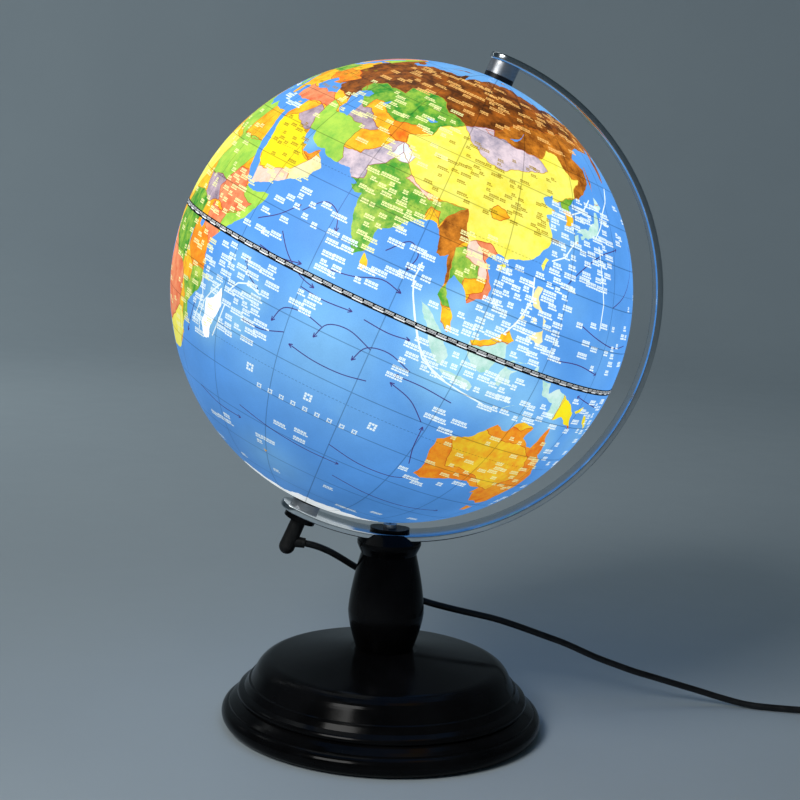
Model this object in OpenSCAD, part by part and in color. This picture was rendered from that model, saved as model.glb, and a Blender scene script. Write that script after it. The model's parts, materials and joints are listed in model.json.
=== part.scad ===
// Desktop globe on a turned stand, lit from inside by an LED lamp.
// Millimetres, +Z up. The origin is the middle of the underside of the base pad.
// The curved arm lies in the XZ plane, and the globe's axis leans towards +X.

/* [Globe] */
// Outer diameter of the globe
globe_d = 250; // [200:5:300]
// Wall of the two half shells
shell_t = 1.6; // [1.2:0.1:2.4]
// Lean of the globe's axis from upright, in degrees
tilt = 21.5; // [15:0.5:26]
// Width of the tape over the seam at the equator
tape_w = 4.4; // [3:0.2:8]
// Thickness of that tape
tape_t = 0.25; // [0.2:0.05:0.5]

/* [Arm] */
// Width of the arm
arm_w = 19.5; // [16:0.5:24]
// Thickness of the arm
arm_t = 3.8; // [3:0.1:5]
// Space between the globe and the arm's inner face
arm_gap = 8.2; // [6.8:0.2:14]
// How far the arm's arc is set off the globe's centre
arm_shift = 4; // [0:0.5:5]
// Arm left past the hole at the north pole
north_overhang = 9.5; // [9.5:0.5:20]
// Arm left past the hole at the south pole
south_overhang = 13.5; // [9.5:0.5:20]

/* [Pole fittings] */
// Diameter of the north pin
pin_d = 5; // [4:0.5:6]
// Outer diameter of the lamp tube at the south pole
tube_d = 6; // [5:0.5:8]
// Wall of the lamp tube
tube_wall = 0.8; // [0.5:0.1:1]
// Diameter of the spacers and of the bush flanges
spacer_d = 16.2; // [14:0.2:20]
// Thickness of the bush flanges outside the globe
bush_flange_t = 2.2; // [1.5:0.1:3]
// Radial play of the two globe bearings
bearing_play = 0.05; // [0.03:0.01:0.1]
// Diameter of the flange under the arm
flange_d = 18; // [14:0.5:19]
// Thickness of that flange
flange_t = 3.2; // [2:0.1:5]
// Outer diameter of the cord elbow's neck
neck_d = 8.4; // [8:0.2:11]

/* [Lamp] */
// Diameter of the opal lamp cover
bulb_d = 44; // [36:2:60]
// Wall of the lamp cover
bulb_t = 1.4; // [1:0.1:2]
// Distance of the lamp cover's seat below the globe's centre
lamp_drop = 32; // [20:1:50]
// Number of LED chips on the ring
led_count = 8; // [4:1:12]

/* [Column] */
// Height of the column, from the base to the arm
column_h = 63; // [50:1:90]
// Diameter of the column at its foot
foot_d = 32; // [28:1:36]
// Largest diameter of the column
belly_d = 42.6; // [38:0.2:52]
// Diameter of the waist under the collar
waist_d = 31; // [28:0.5:34]
// Diameter of the collar
collar_d = 35.8; // [35:0.2:42]
// Diameter of the top that holds the arm
top_d = 25.6; // [25:0.2:30]

/* [Base] */
// Largest diameter of the base
base_d = 180; // [150:2:220]
// Height of the base
base_h = 43.5; // [36:0.5:56]
// Wall of the base shell
base_wall = 2.8; // [2:0.1:4]
// Thickness of the foam pad under the base
pad_t = 2; // [1:0.5:4]
// Thickness of the bottom cover
cover_t = 2; // [1.5:0.1:3]
// Thickness of the iron weight
weight_t = 6; // [4:0.5:9]
// Number of screws in the bottom cover
screw_count = 4; // [3:1:8]

/* [Cord] */
// Diameter of the cord
cord_d = 3.8; // [3.8:0.1:3.9]
// Diameter of the coil at the middle of its turns
coil_d = 44; // [42:1:46]

/* [Hidden] */
$fn = 96;
globe_fn = 180;
drum_fn = 360;
globe_r = globe_d / 2;
base_r = base_d / 2;
cord_r = cord_d / 2;
// Clearance between fixed pieces that fit into each other
fit = 0.05;
// Overlap that makes a cut run clean past a face
past = 1;

// The arm's two radii, and the heights of the column's top and of the globe's centre
arm_ri = globe_r + arm_gap;
arm_ro = arm_ri + arm_t;
column_z = base_h + column_h;
globe_z = column_z + sqrt(pow(arm_ro, 2) - pow(arm_shift, 2));

// Distances along the globe's axis from its centre to a cylinder about the arm's centre
function to_north(r) = sqrt(pow(r, 2) - pow(arm_shift * cos(tilt), 2)) + arm_shift * sin(tilt);
function to_south(r) = to_north(r) - 2 * arm_shift * sin(tilt);
function axis_point(s) = [s * sin(tilt), 0, globe_z + s * cos(tilt)];
// Angles of the two pole holes, seen from the arm's centre
function arm_angle(s) = atan2(s * cos(tilt), s * sin(tilt) - arm_shift);
north_angle = arm_angle(to_north(arm_ro));
south_angle = arm_angle(-to_south(arm_ro));
arm_end_r = arm_w / 2 + 0.6;

// Bearings: the bush flange, a small running gap, then the spacer up to the arm
running_gap = 0.2;
bush_neck_r = 5;
bush_depth = 5;
spacer_z = globe_r + bush_flange_t + running_gap;
pin_depth = 7;
pin_head_r = 4.2;
pin_head_t = 1.8;
bore_r = pin_d / 2 + bearing_play;
tube_bore_r = tube_d / 2 + bearing_play;
seam_ring_h = 10;
seam_ring_t = 1.2;

// Lamp: holder flange, boss inside the cover's mouth, circuit board, chips
bulb_ri = bulb_d / 2 - bulb_t;
boss_r = 15;
bulb_mouth = sqrt(pow(bulb_ri, 2) - pow(boss_r + fit, 2));
holder_flange_r = 17.4;
holder_flange_t = 2;
holder_boss_h = 4;
holder_neck_h = 12;
holder_neck_r = tube_d / 2 + 2;
board_r = 13.5;
board_t = 1.6;
board_z = -lamp_drop + holder_boss_h;
chip_w = 3.5;
chip_t = 1.1;
chip_ring_r = 8.5;
lead_r = 0.6;
lead_x = 1.1;

// Cord elbow: where the tube ends, where the cord turns out, and the ball at the end
tube_grip = 9;
neck_start = to_south(arm_ro) + flange_t;
outlet_s = neck_start + 13.5;
ball_s = outlet_s + 3.4;
ball_r = neck_d / 2 + 0.3;
tube_end_s = neck_start + tube_grip;
stub_r = 3.4;
stub_end_r = 2.8;

// Column and its fixings
rim_h = 1.8;
rim_drop = 3;
cove_drop = 5.2;
waist_drop = 8.5;
belly_share = 0.39;
groove_play = 0.15;
plate_l = 22;
plate_w = 15.6;
plate_t = 2;
clamp_screw_r = 2;
clamp_head_r = 3.8;
clamp_head_t = 2.2;
clamp_reach = 11;
insert_wall = 1.6;
top_insert_h = 12;
low_insert_h = 14;
bolt_r = 2.5;
bolt_head_r = 4.6;
bolt_head_h = 3.6;
bolt_reach = 12;
washer_r = 9;
washer_t = 1.2;

// Base outline
rim_z = 0.7;
bead_r = 5.2;
bead_z = bead_r + 0.2;
ledge_z = base_h - 19.3;
shoulder_r = 12.4;
shoulder_in = 29.8;
land_r = 19;
cover_z = pad_t;
cover_r = base_r - 5;
pad_r = cover_r - 3;
weight_r = base_r - 27;
weight_hole_r = 14;
weight_z = cover_z + cover_t;
post_r = 4;
post_ring_r = base_r - 19;
screw_r = 1.5;
screw_head_r = 2.8;
screw_head_t = 1.6;
screw_l = 10;

// Cord route: from inside the elbow, round behind the column and down to the table
cord_exit = [-47, 0, 100.8];
run_route = [
    [-52, 0, 101.5], cord_exit, [-41, 1.5, 99.2], [-34, 5, 95.8], [-27, 9.5, 91],
    [-20, 15, 85.5], [-11, 21, 79.2], [0, 25.5, 73.2], [10, 27.5, 68], [20, 29, 63.5],
    [31, 32, 60], [42, 35, 57], [52, 38, 54.4], [63, 41, 51.5], [73, 43.5, 48.2],
    [84, 46, 44.2], [95, 48, 40.2], [107, 50, 35.8], [124, 53, 28.2], [136, 54.5, 23.8],
    [149, 56, 19.4], [160, 57, 16.4], [170, 58, 13.6], [180, 59, 10.8], [190, 59.5, 8.2],
    [199, 59.5, 5.8], [207, 59, 4], [215, 58, 2.6], [224, 56.5, 2], [236, 55, 2],
    [249, 54, 2], [262, 53.6, 2.2], [274, 53.9, 2.7]
];
// From the coil to the switch, and from the switch to the plug
tail_route = [[311, 16.5, 9.8], [311, 9, 9], [311, 2, 7.6], [311, -5, 6.6], [311, -10, 6.5]];
end_route = [
    [311, -46, 6.5], [311, -52, 6.3], [310.5, -58, 5.6], [309, -65, 4.8],
    [306.5, -72, 4.4], [304.6, -79, 4.3], [304, -86, 4.3]
];

// Coil: three turns wide and three high, on a tie that lifts it a little
coil_at = [285, 28, 0];
coil_lift = 0.9;
turn_pitch = 3.9;
coil_w = 2 * turn_pitch + cord_d;
coil_h = 3 * cord_d;
tie_w = 5;
tie_t = 0.8;
tie_angle = 215;
tie_play = 0.1;

// Switch on the cord, lying along Y
switch_at = [311, -28, 0];
switch_l = 42;
switch_w = 18;
switch_h = 13;
switch_wall = 1.6;
switch_split = 6.5;
cord_port_z = 6.5;
snout_l = 3;
snout_r = 3.6;
rocker_l = 15;
rocker_w = 9;
rocker_lean = 7;
rocker_gap = 0.4;
pivot_z = 9.4;
pivot_r = 1;
pivot_l = 12;
contact_l = 9;
contact_w = 3;
contact_t = 0.5;

// Plug at the cord's end, pointing along -Y
plug_at = [304, -83, 4.3];
relief_l = 8;
grip_l = 24;
grip_w = 15.4;
grip_h = 8.2;
shell_l = 18;
shell_w = 12;
shell_h = 4.5;
shell_wall = 0.3;
shell_grip = 6;
window = 2.2;
tongue_h = 1.9;
plug_contact_w = 1.4;
plug_contact_t = 0.15;

// ---------------------------------------------------------------- helpers

// Points along an arc about c, from angle a0 to a1
function arc(c, r, a0, a1, n) =
    [for (i = [0:n]) let (a = a0 + (a1 - a0) * i / n) [c.x + r * cos(a), c.y + r * sin(a)]];

// Places its children on the globe's axis, with the globe's centre as their origin
module on_axis() {
    translate([0, 0, globe_z]) rotate([0, tilt, 0]) children();
}

// Turns its children's Z axis to run from a to b, starting at a
module between(a, b) {
    d = b - a;
    translate(a) rotate([0, acos(d.z / norm(d)), atan2(d.y, d.x)]) children();
}

// A cylinder lying along Y, fine enough for the arm and the pieces that its curve trims
module drum(r, w) {
    rotate([90, 0, 0]) cylinder(h = w, r = r, center = true, $fn = drum_fn);
}

// The same about the arm's centre line
module arm_drum(r, w) {
    translate([arm_shift, 0, globe_z]) drum(r, w);
}

// A washer or a short tube standing on z = 0
module ring(ro, ri, h) {
    difference() {
        cylinder(h = h, r = ro);
        translate([0, 0, -past]) cylinder(h = h + 2 * past, r = ri);
    }
}

// Block along X with round ends, standing on z = 0
module long_block(l, w, h) {
    end_x = (l - w) / 2;
    for (x = [-end_x, end_x]) translate([x, 0, 0]) cylinder(h = h, d = w);
    translate([-end_x, -w / 2, 0]) cube([2 * end_x, w, h]);
}

// Catmull-Rom point between p1 and p2
function blend(p0, p1, p2, p3, t) =
    0.5 * (2 * p1 + (p2 - p0) * t + (2 * p0 - 5 * p1 + 4 * p2 - p3) * t * t
    + (3 * p1 - p0 - 3 * p2 + p3) * t * t * t);

// The route with one more point between each two of its own
function fine(route) = [
    for (i = [0:len(route) - 2])
        let (
            a = route[max(i - 1, 0)],
            b = route[min(i + 2, len(route) - 1)]
        )
        for (t = [0, 0.5]) blend(a, route[i], route[i + 1], b, t),
    route[len(route) - 1]
];

function unit(v) = v / norm(v);

// A tube with eight sides swept along a list of points that never runs straight up
module cord_tube(path) {
    sides = 8;
    last = len(path) - 1;
    rings = [
        for (i = [0:last])
            let (
                along = unit(path[min(i + 1, last)] - path[max(i - 1, 0)]),
                side = unit(cross([0, 0, 1], along)),
                up = cross(along, side)
            )
            for (k = [0:sides - 1])
                let (a = 360 * (k + 0.5) / sides)
                path[i] + cord_r * (cos(a) * side + sin(a) * up)
    ];
    walls = [
        for (i = [0:last - 1])
            for (k = [0:sides - 1])
                let (n = (k + 1) % sides)
                [(i + 1) * sides + k, (i + 1) * sides + n, i * sides + n, i * sides + k]
    ];
    caps = [
        [for (k = [0:sides - 1]) k],
        [for (k = [sides - 1:-1:0]) last * sides + k]
    ];
    polyhedron(points = rings, faces = concat(walls, caps));
}

// ---------------------------------------------------------------- globe

// Half of the hollow ball above the seam, with the hole for its bush
module half_shell(hole_r) {
    difference() {
        sphere(r = globe_r, $fn = globe_fn);
        sphere(r = globe_r - shell_t, $fn = globe_fn);
        translate([0, 0, -globe_d / 2]) cube([globe_d + 2, globe_d + 2, globe_d], center = true);
        translate([0, 0, globe_r - 10]) cylinder(h = 20, r = hole_r);
    }
}

module north_shell() {
    color("royalblue") on_axis() half_shell(bush_neck_r + fit);
}

module south_shell() {
    color("royalblue") on_axis() mirror([0, 0, 1]) half_shell(bush_neck_r + fit);
}

// Band glued inside both shells at the seam
module seam_ring() {
    seam_r = sqrt(pow(globe_r - shell_t, 2) - pow(seam_ring_h / 2, 2)) - fit;
    color("white") on_axis() translate([0, 0, -seam_ring_h / 2])
        ring(seam_r, seam_r - seam_ring_t, seam_ring_h);
}

module equator_tape() {
    color("black") on_axis() difference() {
        intersection() {
            sphere(r = globe_r + tape_t, $fn = globe_fn);
            cube([globe_d + 10, globe_d + 10, tape_w], center = true);
        }
        sphere(r = globe_r, $fn = globe_fn);
    }
}

// Plastic bearing with a flange outside the shell
module bush(bore) {
    difference() {
        union() {
            difference() {
                translate([0, 0, globe_r - 2]) cylinder(h = 2 + bush_flange_t, d = spacer_d);
                sphere(r = globe_r, $fn = globe_fn);
            }
            translate([0, 0, globe_r - bush_depth]) cylinder(h = bush_depth + 0.5, r = bush_neck_r);
        }
        translate([0, 0, globe_r - 20]) cylinder(h = 40, r = bore);
    }
}

module north_bush() {
    color("dimgray") on_axis() bush(bore_r);
}

module south_bush() {
    color("dimgray") on_axis() mirror([0, 0, 1]) bush(tube_bore_r);
}

// ---------------------------------------------------------------- arm

// The arm's band about its own centre, as far as two angles in the XZ plane
module band(a0, a1) {
    steps = 12;
    rim = [for (k = [0:steps]) a0 + (a1 - a0) * k / steps];
    intersection() {
        difference() {
            drum(arm_ro, arm_w);
            drum(arm_ri, arm_w + 2 * past);
        }
        rotate([90, 0, 0]) linear_extrude(height = 2 * arm_w, center = true)
            polygon(concat([[0, 0]], [for (a = rim) 1.5 * arm_ro * [cos(a), sin(a)]]));
    }
}

// What is cut from the band to round its end; side is the way it points
module end_cutter(a, side) {
    block = 2 * arm_w;
    rotate([0, 90 - a, 0]) difference() {
        translate([side * block / 2, 0, arm_ro]) cube(block, center = true);
        translate([0, 0, arm_ri - block]) cylinder(h = 2 * block, r = arm_end_r);
    }
}

module meridian_arm() {
    north_end = north_angle + (north_overhang - arm_end_r) * 180 / (PI * arm_ro);
    south_end = south_angle - (south_overhang - arm_end_r) * 180 / (PI * arm_ro);
    end_room = 8;
    color("silver") difference() {
        translate([arm_shift, 0, globe_z]) difference() {
            band(south_end - end_room, north_end + end_room);
            end_cutter(north_end, -1);
            end_cutter(south_end, 1);
        }
        on_axis() translate([0, 0, arm_ri - 5]) cylinder(h = arm_t + 15, d = pin_d + 2 * fit);
        on_axis() translate([0, 0, to_north(arm_ro) - pin_head_t - fit])
            cylinder(h = 10, r = pin_head_r + fit);
        on_axis() translate([0, 0, -arm_ro - 5]) cylinder(h = arm_t + 15, d = tube_d + 2 * fit);
        translate([0, 0, column_z - 5]) cylinder(h = arm_t + 15, r = clamp_screw_r + 0.2);
    }
}

// ---------------------------------------------------------------- poles

module north_pin() {
    head_z = to_north(arm_ro) - pin_head_t;
    color("silver") on_axis() difference() {
        union() {
            translate([0, 0, globe_r - pin_depth])
                cylinder(h = head_z - globe_r + pin_depth, d = pin_d);
            translate([0, 0, head_z]) cylinder(h = pin_head_t - 0.3, r = pin_head_r);
        }
        translate([0, 0, head_z + pin_head_t - 1.3]) cube([2 * pin_head_r - 2, 1, 2], center = true);
    }
}

// Turned spacer from the running gap to the arm's curved inner face
module spacer(bore) {
    difference() {
        translate([0, 0, spacer_z]) cylinder(h = arm_ri - globe_r, d = spacer_d);
        translate([0, 0, globe_r - 5]) cylinder(h = arm_ri - globe_r + 20, d = bore);
    }
}

module north_spacer() {
    color("silver") intersection() {
        on_axis() spacer(pin_d + 2 * fit);
        arm_drum(arm_ri, globe_d);
    }
}

module south_spacer() {
    color("silver") intersection() {
        on_axis() mirror([0, 0, 1]) spacer(tube_d + 2 * fit);
        arm_drum(arm_ri, globe_d);
    }
}

module lamp_flange() {
    color("black") difference() {
        on_axis() mirror([0, 0, 1]) translate([0, 0, neck_start - flange_t - 2])
            ring(flange_d / 2, tube_d / 2 + fit, flange_t + 2);
        arm_drum(arm_ro, globe_d);
    }
}

module lamp_tube() {
    color("silver") on_axis() translate([0, 0, -tube_end_s])
        ring(tube_d / 2, tube_d / 2 - tube_wall, tube_end_s - lamp_drop);
}

// Moulded grip at the foot of the tube, with the cord's outlet at its side
module cord_elbow() {
    turn = axis_point(-outlet_s);
    lead = norm(cord_exit - turn);
    color("black") difference() {
        union() {
            on_axis() mirror([0, 0, 1]) translate([0, 0, neck_start])
                cylinder(h = ball_s - neck_start, r1 = neck_d / 2, r2 = ball_r);
            on_axis() translate([0, 0, -ball_s]) sphere(r = ball_r);
            between(turn, cord_exit) cylinder(h = lead, r1 = stub_r, r2 = stub_end_r);
        }
        on_axis() mirror([0, 0, 1]) translate([0, 0, neck_start - past])
            cylinder(h = tube_grip + past, r = tube_d / 2 + fit);
        on_axis() mirror([0, 0, 1]) translate([0, 0, neck_start])
            cylinder(h = outlet_s - neck_start + cord_r, r = tube_d / 2 - tube_wall);
        between(turn, cord_exit) cylinder(h = lead + past, r = cord_r + fit);
    }
}

// ---------------------------------------------------------------- lamp

module lamp_holder() {
    color("white") on_axis() difference() {
        union() {
            translate([0, 0, -lamp_drop - holder_flange_t])
                cylinder(h = holder_flange_t, r = holder_flange_r);
            translate([0, 0, -lamp_drop]) cylinder(h = holder_boss_h, r = boss_r);
            translate([0, 0, -lamp_drop - holder_flange_t - holder_neck_h])
                cylinder(h = holder_neck_h, r1 = holder_neck_r, r2 = boss_r);
        }
        translate([0, 0, -lamp_drop - 50]) cylinder(h = 50, r = tube_d / 2 + fit);
        translate([0, 0, -lamp_drop - past]) cylinder(h = 20, r = tube_d / 2 - tube_wall);
    }
}

module led_board() {
    color("white") on_axis() translate([0, 0, board_z]) cylinder(h = board_t, r = board_r);
}

module led_chips() {
    color("gold") on_axis() translate([0, 0, board_z + board_t]) {
        translate([0, 0, chip_t / 2]) cube([chip_w, chip_w, chip_t], center = true);
        for (i = [0:led_count - 1])
            rotate([0, 0, 360 * i / led_count]) translate([chip_ring_r, 0, chip_t / 2])
                cube([chip_w, chip_w, chip_t], center = true);
    }
}

// Opal ball that snaps over the holder's boss
module led_cover() {
    color("white") on_axis() difference() {
        translate([0, 0, -lamp_drop + bulb_mouth]) sphere(d = bulb_d);
        translate([0, 0, -lamp_drop + bulb_mouth]) sphere(r = bulb_ri);
        translate([0, 0, -lamp_drop - bulb_d]) cylinder(h = bulb_d, r = bulb_d);
    }
}

module lamp_leads() {
    color("red") on_axis() for (x = [-lead_x, lead_x])
        translate([x, 0, -outlet_s + 2]) cylinder(h = outlet_s - 2 + board_z, r = lead_r);
}

// ---------------------------------------------------------------- column

// Oval plate that follows the arm's inner face
module clamp_plate() {
    color("black") difference() {
        intersection() {
            arm_drum(arm_ri, globe_d);
            translate([0, 0, column_z]) long_block(plate_l, plate_w, 20);
        }
        arm_drum(arm_ri - plate_t, globe_d);
        translate([0, 0, column_z - 5]) cylinder(h = 30, r = clamp_screw_r + 0.2);
    }
}

module clamp_screw() {
    seat_z = column_z + arm_t + plate_t + 0.1;
    color("silver") difference() {
        union() {
            translate([0, 0, column_z - clamp_reach])
                cylinder(h = seat_z - column_z + clamp_reach, r = clamp_screw_r);
            translate([0, 0, seat_z]) cylinder(h = clamp_head_t, r = clamp_head_r);
        }
        for (a = [0, 90]) translate([0, 0, seat_z + clamp_head_t]) rotate([0, 0, a])
            cube([4.4, 0.9, 2.2], center = true);
    }
}

// Radius along the belly: f runs from the widest place, 0, to the end, 1
function belly(f, end_d) = belly_d / 2 - (belly_d - end_d) / 2 * pow(f, 1.5);

module column() {
    waist_z = column_z - waist_drop;
    wide_z = base_h + belly_share * (waist_z - base_h);
    steps = 12;
    outline = [
        [0, base_h],
        for (i = [steps:-1:1]) [belly(i / steps, foot_d), wide_z - (wide_z - base_h) * i / steps],
        for (i = [0:steps]) [belly(i / steps, waist_d), wide_z + (waist_z - wide_z) * i / steps],
        [waist_d / 2 + 0.9, column_z - waist_drop + 2],
        [collar_d / 2 - 0.5, column_z - cove_drop + 0.8],
        [collar_d / 2, column_z - rim_drop],
        [collar_d / 2, column_z - rim_drop + rim_h],
        [top_d / 2, column_z + arm_t],
        [0, column_z + arm_t]
    ];
    color("black") difference() {
        rotate_extrude() polygon(outline);
        arm_groove();
        translate([0, 0, base_h - past])
            cylinder(h = low_insert_h + past, r = bolt_r + insert_wall + fit);
        translate([0, 0, column_z - top_insert_h])
            cylinder(h = 20, r = clamp_screw_r + insert_wall + fit);
    }
}

// Space of the arm and a little play at its edges
module arm_groove() {
    intersection() {
        difference() {
            arm_drum(arm_ro, arm_w + 2 * groove_play);
            arm_drum(arm_ri - 10, arm_w + 10);
        }
        translate([0, 0, column_z]) cube([60, 60, 20], center = true);
    }
}

module column_top_insert() {
    color("gold") translate([0, 0, column_z - top_insert_h + fit])
        ring(clamp_screw_r + insert_wall, clamp_screw_r + fit, top_insert_h - 2 * fit);
}

module column_foot_insert() {
    color("gold") translate([0, 0, base_h])
        ring(bolt_r + insert_wall, bolt_r + fit, low_insert_h - fit);
}

module column_bolt() {
    head_z = base_h - base_wall - washer_t - bolt_head_h;
    color("silver") difference() {
        union() {
            translate([0, 0, head_z]) cylinder(h = bolt_head_h, r = bolt_head_r);
            translate([0, 0, head_z]) cylinder(h = base_h + bolt_reach - head_z, r = bolt_r);
        }
        translate([0, 0, head_z - past]) cylinder(h = 2 + past, r = 2.3, $fn = 6);
    }
}

module column_washer() {
    color("silver") translate([0, 0, base_h - base_wall - washer_t])
        ring(washer_r, bolt_r + 0.2, washer_t);
}

// ---------------------------------------------------------------- base

// Outside of the base: foot bead, cove, small bead, ledge, shoulder and the sloping top
function base_outside() =
    let (
        step_z = bead_z + bead_r,
        small_z = step_z + (ledge_z - step_z) * 0.46
    )
    concat(
        arc([base_r - bead_r, bead_z], bead_r, -64, 75, 12),
        [[base_r - 4.2, step_z + 0.2], [base_r - 4.4, step_z + 0.8]],
        [[base_r - 6.2, step_z + 2.1]],
        arc([base_r - 10.6, small_z], 2, -65, 65, 6),
        [[base_r - 12.4, small_z + 3.2], [base_r - 14.2, ledge_z - 1.4], [base_r - 14.7, ledge_z - 0.4]],
        [[base_r - 15.8, ledge_z]],
        arc([base_r - shoulder_in, ledge_z], shoulder_r, 25, 80, 8),
        [[land_r, base_h]]
    );

// Inside of the base, from the middle out and down to the cover's seat
function base_inside() = concat(
    [[0, base_h - base_wall], [land_r, base_h - base_wall]],
    arc([base_r - shoulder_in, ledge_z], shoulder_r - base_wall, 80, 25, 6),
    [
        [base_r - 15.8 - base_wall, ledge_z - base_wall],
        [base_r - 10.6 - base_wall, bead_z + bead_r],
        [base_r - 7 - base_wall, weight_z + 3],
        [base_r - 7 - base_wall, weight_z],
        [cover_r + 0.2, weight_z],
        [cover_r + 0.2, rim_z]
    ]
);

// The places of the cover's screws
module at_screws() {
    for (i = [0:screw_count - 1])
        rotate([0, 0, 360 * (i + 0.5) / screw_count]) translate([post_ring_r, 0, 0]) children();
}

module base_shell() {
    color("black") difference() {
        union() {
            rotate_extrude() polygon(concat(base_inside(), base_outside(), [[0, base_h]]));
            intersection() {
                at_screws() translate([0, 0, weight_z]) cylinder(h = base_h, r = post_r);
                rotate_extrude()
                    polygon(concat([[0, 0], [base_r - 8, 0]], shell_middle(), [[0, base_h - 1]]));
            }
        }
        translate([0, 0, base_h - 20]) cylinder(h = 40, r = bolt_r + 0.2);
        at_screws() translate([0, 0, weight_z - past]) cylinder(h = screw_l, r = screw_r + fit);
    }
}

// A line in the thickness of the shell, where the screw posts end
function shell_middle() = [
    [base_r - 8, bead_z + 2],
    [base_r - 12, bead_z + bead_r],
    [base_r - 17, ledge_z - 1],
    [base_r - shoulder_in + shoulder_r - 1.5, ledge_z + 5],
    [base_r - shoulder_in + 4, ledge_z + shoulder_r - 1.5]
];

module base_weight() {
    color("dimgray") translate([0, 0, weight_z]) ring(weight_r, weight_hole_r, weight_t);
}

module base_cover() {
    color("dimgray") difference() {
        translate([0, 0, cover_z]) cylinder(h = cover_t, r = cover_r);
        at_screws() translate([0, 0, cover_z - past]) cylinder(h = cover_t + 2 * past, r = screw_r + 0.2);
        at_screws() translate([0, 0, cover_z - past])
            cylinder(h = screw_head_t + past, r = screw_head_r + 0.2);
    }
}

module cover_screws() {
    color("silver") at_screws() {
        translate([0, 0, cover_z + 0.1]) cylinder(h = screw_head_t - 0.1, r = screw_head_r);
        translate([0, 0, cover_z + 0.1]) cylinder(h = screw_l, r = screw_r);
    }
}

module base_pad() {
    color("dimgray") cylinder(h = pad_t, r = pad_r);
}

// ---------------------------------------------------------------- cord

module cord_run() {
    color("black") cord_tube(fine(run_route));
}

module cord_tail() {
    color("black") cord_tube(fine(tail_route));
}

module cord_end() {
    color("black") cord_tube(fine(end_route));
}

// Outer shape of the wound turns
module cord_coil() {
    color("black") translate(coil_at) rotate_extrude()
        translate([coil_d / 2 - coil_w / 2, coil_lift]) square([coil_w, coil_h]);
}

// Band around the wound turns
module cord_tie() {
    hole_w = coil_w + 2 * tie_play + 0.4;
    hole_h = coil_h + 2 * tie_play;
    color("dimgray") translate(coil_at) rotate([0, 0, tie_angle])
        translate([coil_d / 2, tie_w / 2, coil_lift - tie_play])
            rotate([90, 0, 0]) linear_extrude(tie_w) difference() {
                translate([-hole_w / 2 - tie_t, -tie_t])
                    square([hole_w + 2 * tie_t, hole_h + 2 * tie_t]);
                translate([-hole_w / 2, 0]) square([hole_w, hole_h]);
            }
}

// ---------------------------------------------------------------- switch

// Whole switch body with its room inside, before it is split in two
module switch_body() {
    difference() {
        union() {
            rotate([0, 0, 90]) long_block(switch_l, switch_w, switch_h);
            translate([0, 0, cord_port_z]) rotate([90, 0, 0])
                cylinder(h = switch_l + 2 * snout_l, r = snout_r, center = true);
        }
        translate([0, 0, switch_wall]) rotate([0, 0, 90]) long_block(
            switch_l - 2 * switch_wall, switch_w - 2 * switch_wall, switch_h - 2 * switch_wall);
        translate([0, 0, cord_port_z]) rotate([90, 0, 0])
            cylinder(h = switch_l + 4 * snout_l, r = cord_r + fit, center = true);
        translate([0, 0, switch_h])
            cube([rocker_w + 2 * rocker_gap, rocker_l + 2 * rocker_gap, 4 * switch_wall], center = true);
    }
}

module switch_base() {
    color("black") translate(switch_at) intersection() {
        switch_body();
        translate([-50, -50, -1]) cube([100, 100, switch_split + 1]);
    }
}

// Upper half, with two ears inside that carry the rocker's pivot
module switch_cover() {
    ear_t = 1.2;
    ear_x = rocker_w / 2 + rocker_gap;
    color("black") translate(switch_at) difference() {
        union() {
            intersection() {
                switch_body();
                translate([-50, -50, switch_split]) cube([100, 100, 50]);
            }
            for (x = [-ear_x - ear_t, ear_x]) translate([x, -2.5, pivot_z - 2])
                cube([ear_t, 5, switch_h - switch_wall / 2 - pivot_z + 2]);
        }
        translate([0, 0, pivot_z]) rotate([0, 90, 0])
            cylinder(h = pivot_l + 0.4, r = pivot_r + bearing_play, center = true);
    }
}

// Rocker with a dished top, shown pressed at its +Y end
module switch_rocker() {
    swing_r = norm([rocker_l / 2 + rocker_gap, switch_h - switch_wall - pivot_z]) - 0.25;
    dish_z = switch_h - pivot_z;
    color("red") translate(switch_at + [0, 0, pivot_z]) rotate([-rocker_lean, 0, 0]) {
        intersection() {
            rotate([0, 90, 0]) cylinder(h = rocker_w, r = swing_r, center = true);
            difference() {
                translate([-rocker_w / 2, -swing_r, -2.2]) cube([rocker_w, 2 * swing_r, 9]);
                for (m = [0, 1]) mirror([0, m, 0]) rotate([rocker_lean, 0, 0])
                    translate([-rocker_w, -2, dish_z]) cube([2 * rocker_w, 20, 10]);
            }
        }
        rotate([0, 90, 0]) cylinder(h = pivot_l, r = pivot_r, center = true);
    }
}

module switch_contacts() {
    color("gold") translate(switch_at) for (y = [-contact_l - 1.5, 1.5])
        translate([-contact_w / 2, y, switch_wall]) cube([contact_w, contact_l, contact_t]);
}

// ---------------------------------------------------------------- plug

// Moulded grip with a stepped relief behind it
module plug_grip() {
    color("black") translate(plug_at) difference() {
        union() {
            rotate([90, 0, 0]) cylinder(h = relief_l, r1 = cord_r + 0.6, r2 = grip_h / 2 - 0.6);
            translate([0, -relief_l, 0]) rotate([90, 0, 0]) long_block(grip_w, grip_h, grip_l);
        }
        translate([0, past, 0]) rotate([90, 0, 0]) cylinder(h = 6 + past, r = cord_r + fit);
        translate([0, -relief_l - grip_l, 0])
            cube([shell_w + 2 * fit, 2 * shell_grip, shell_h + 2 * fit], center = true);
    }
}

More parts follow.
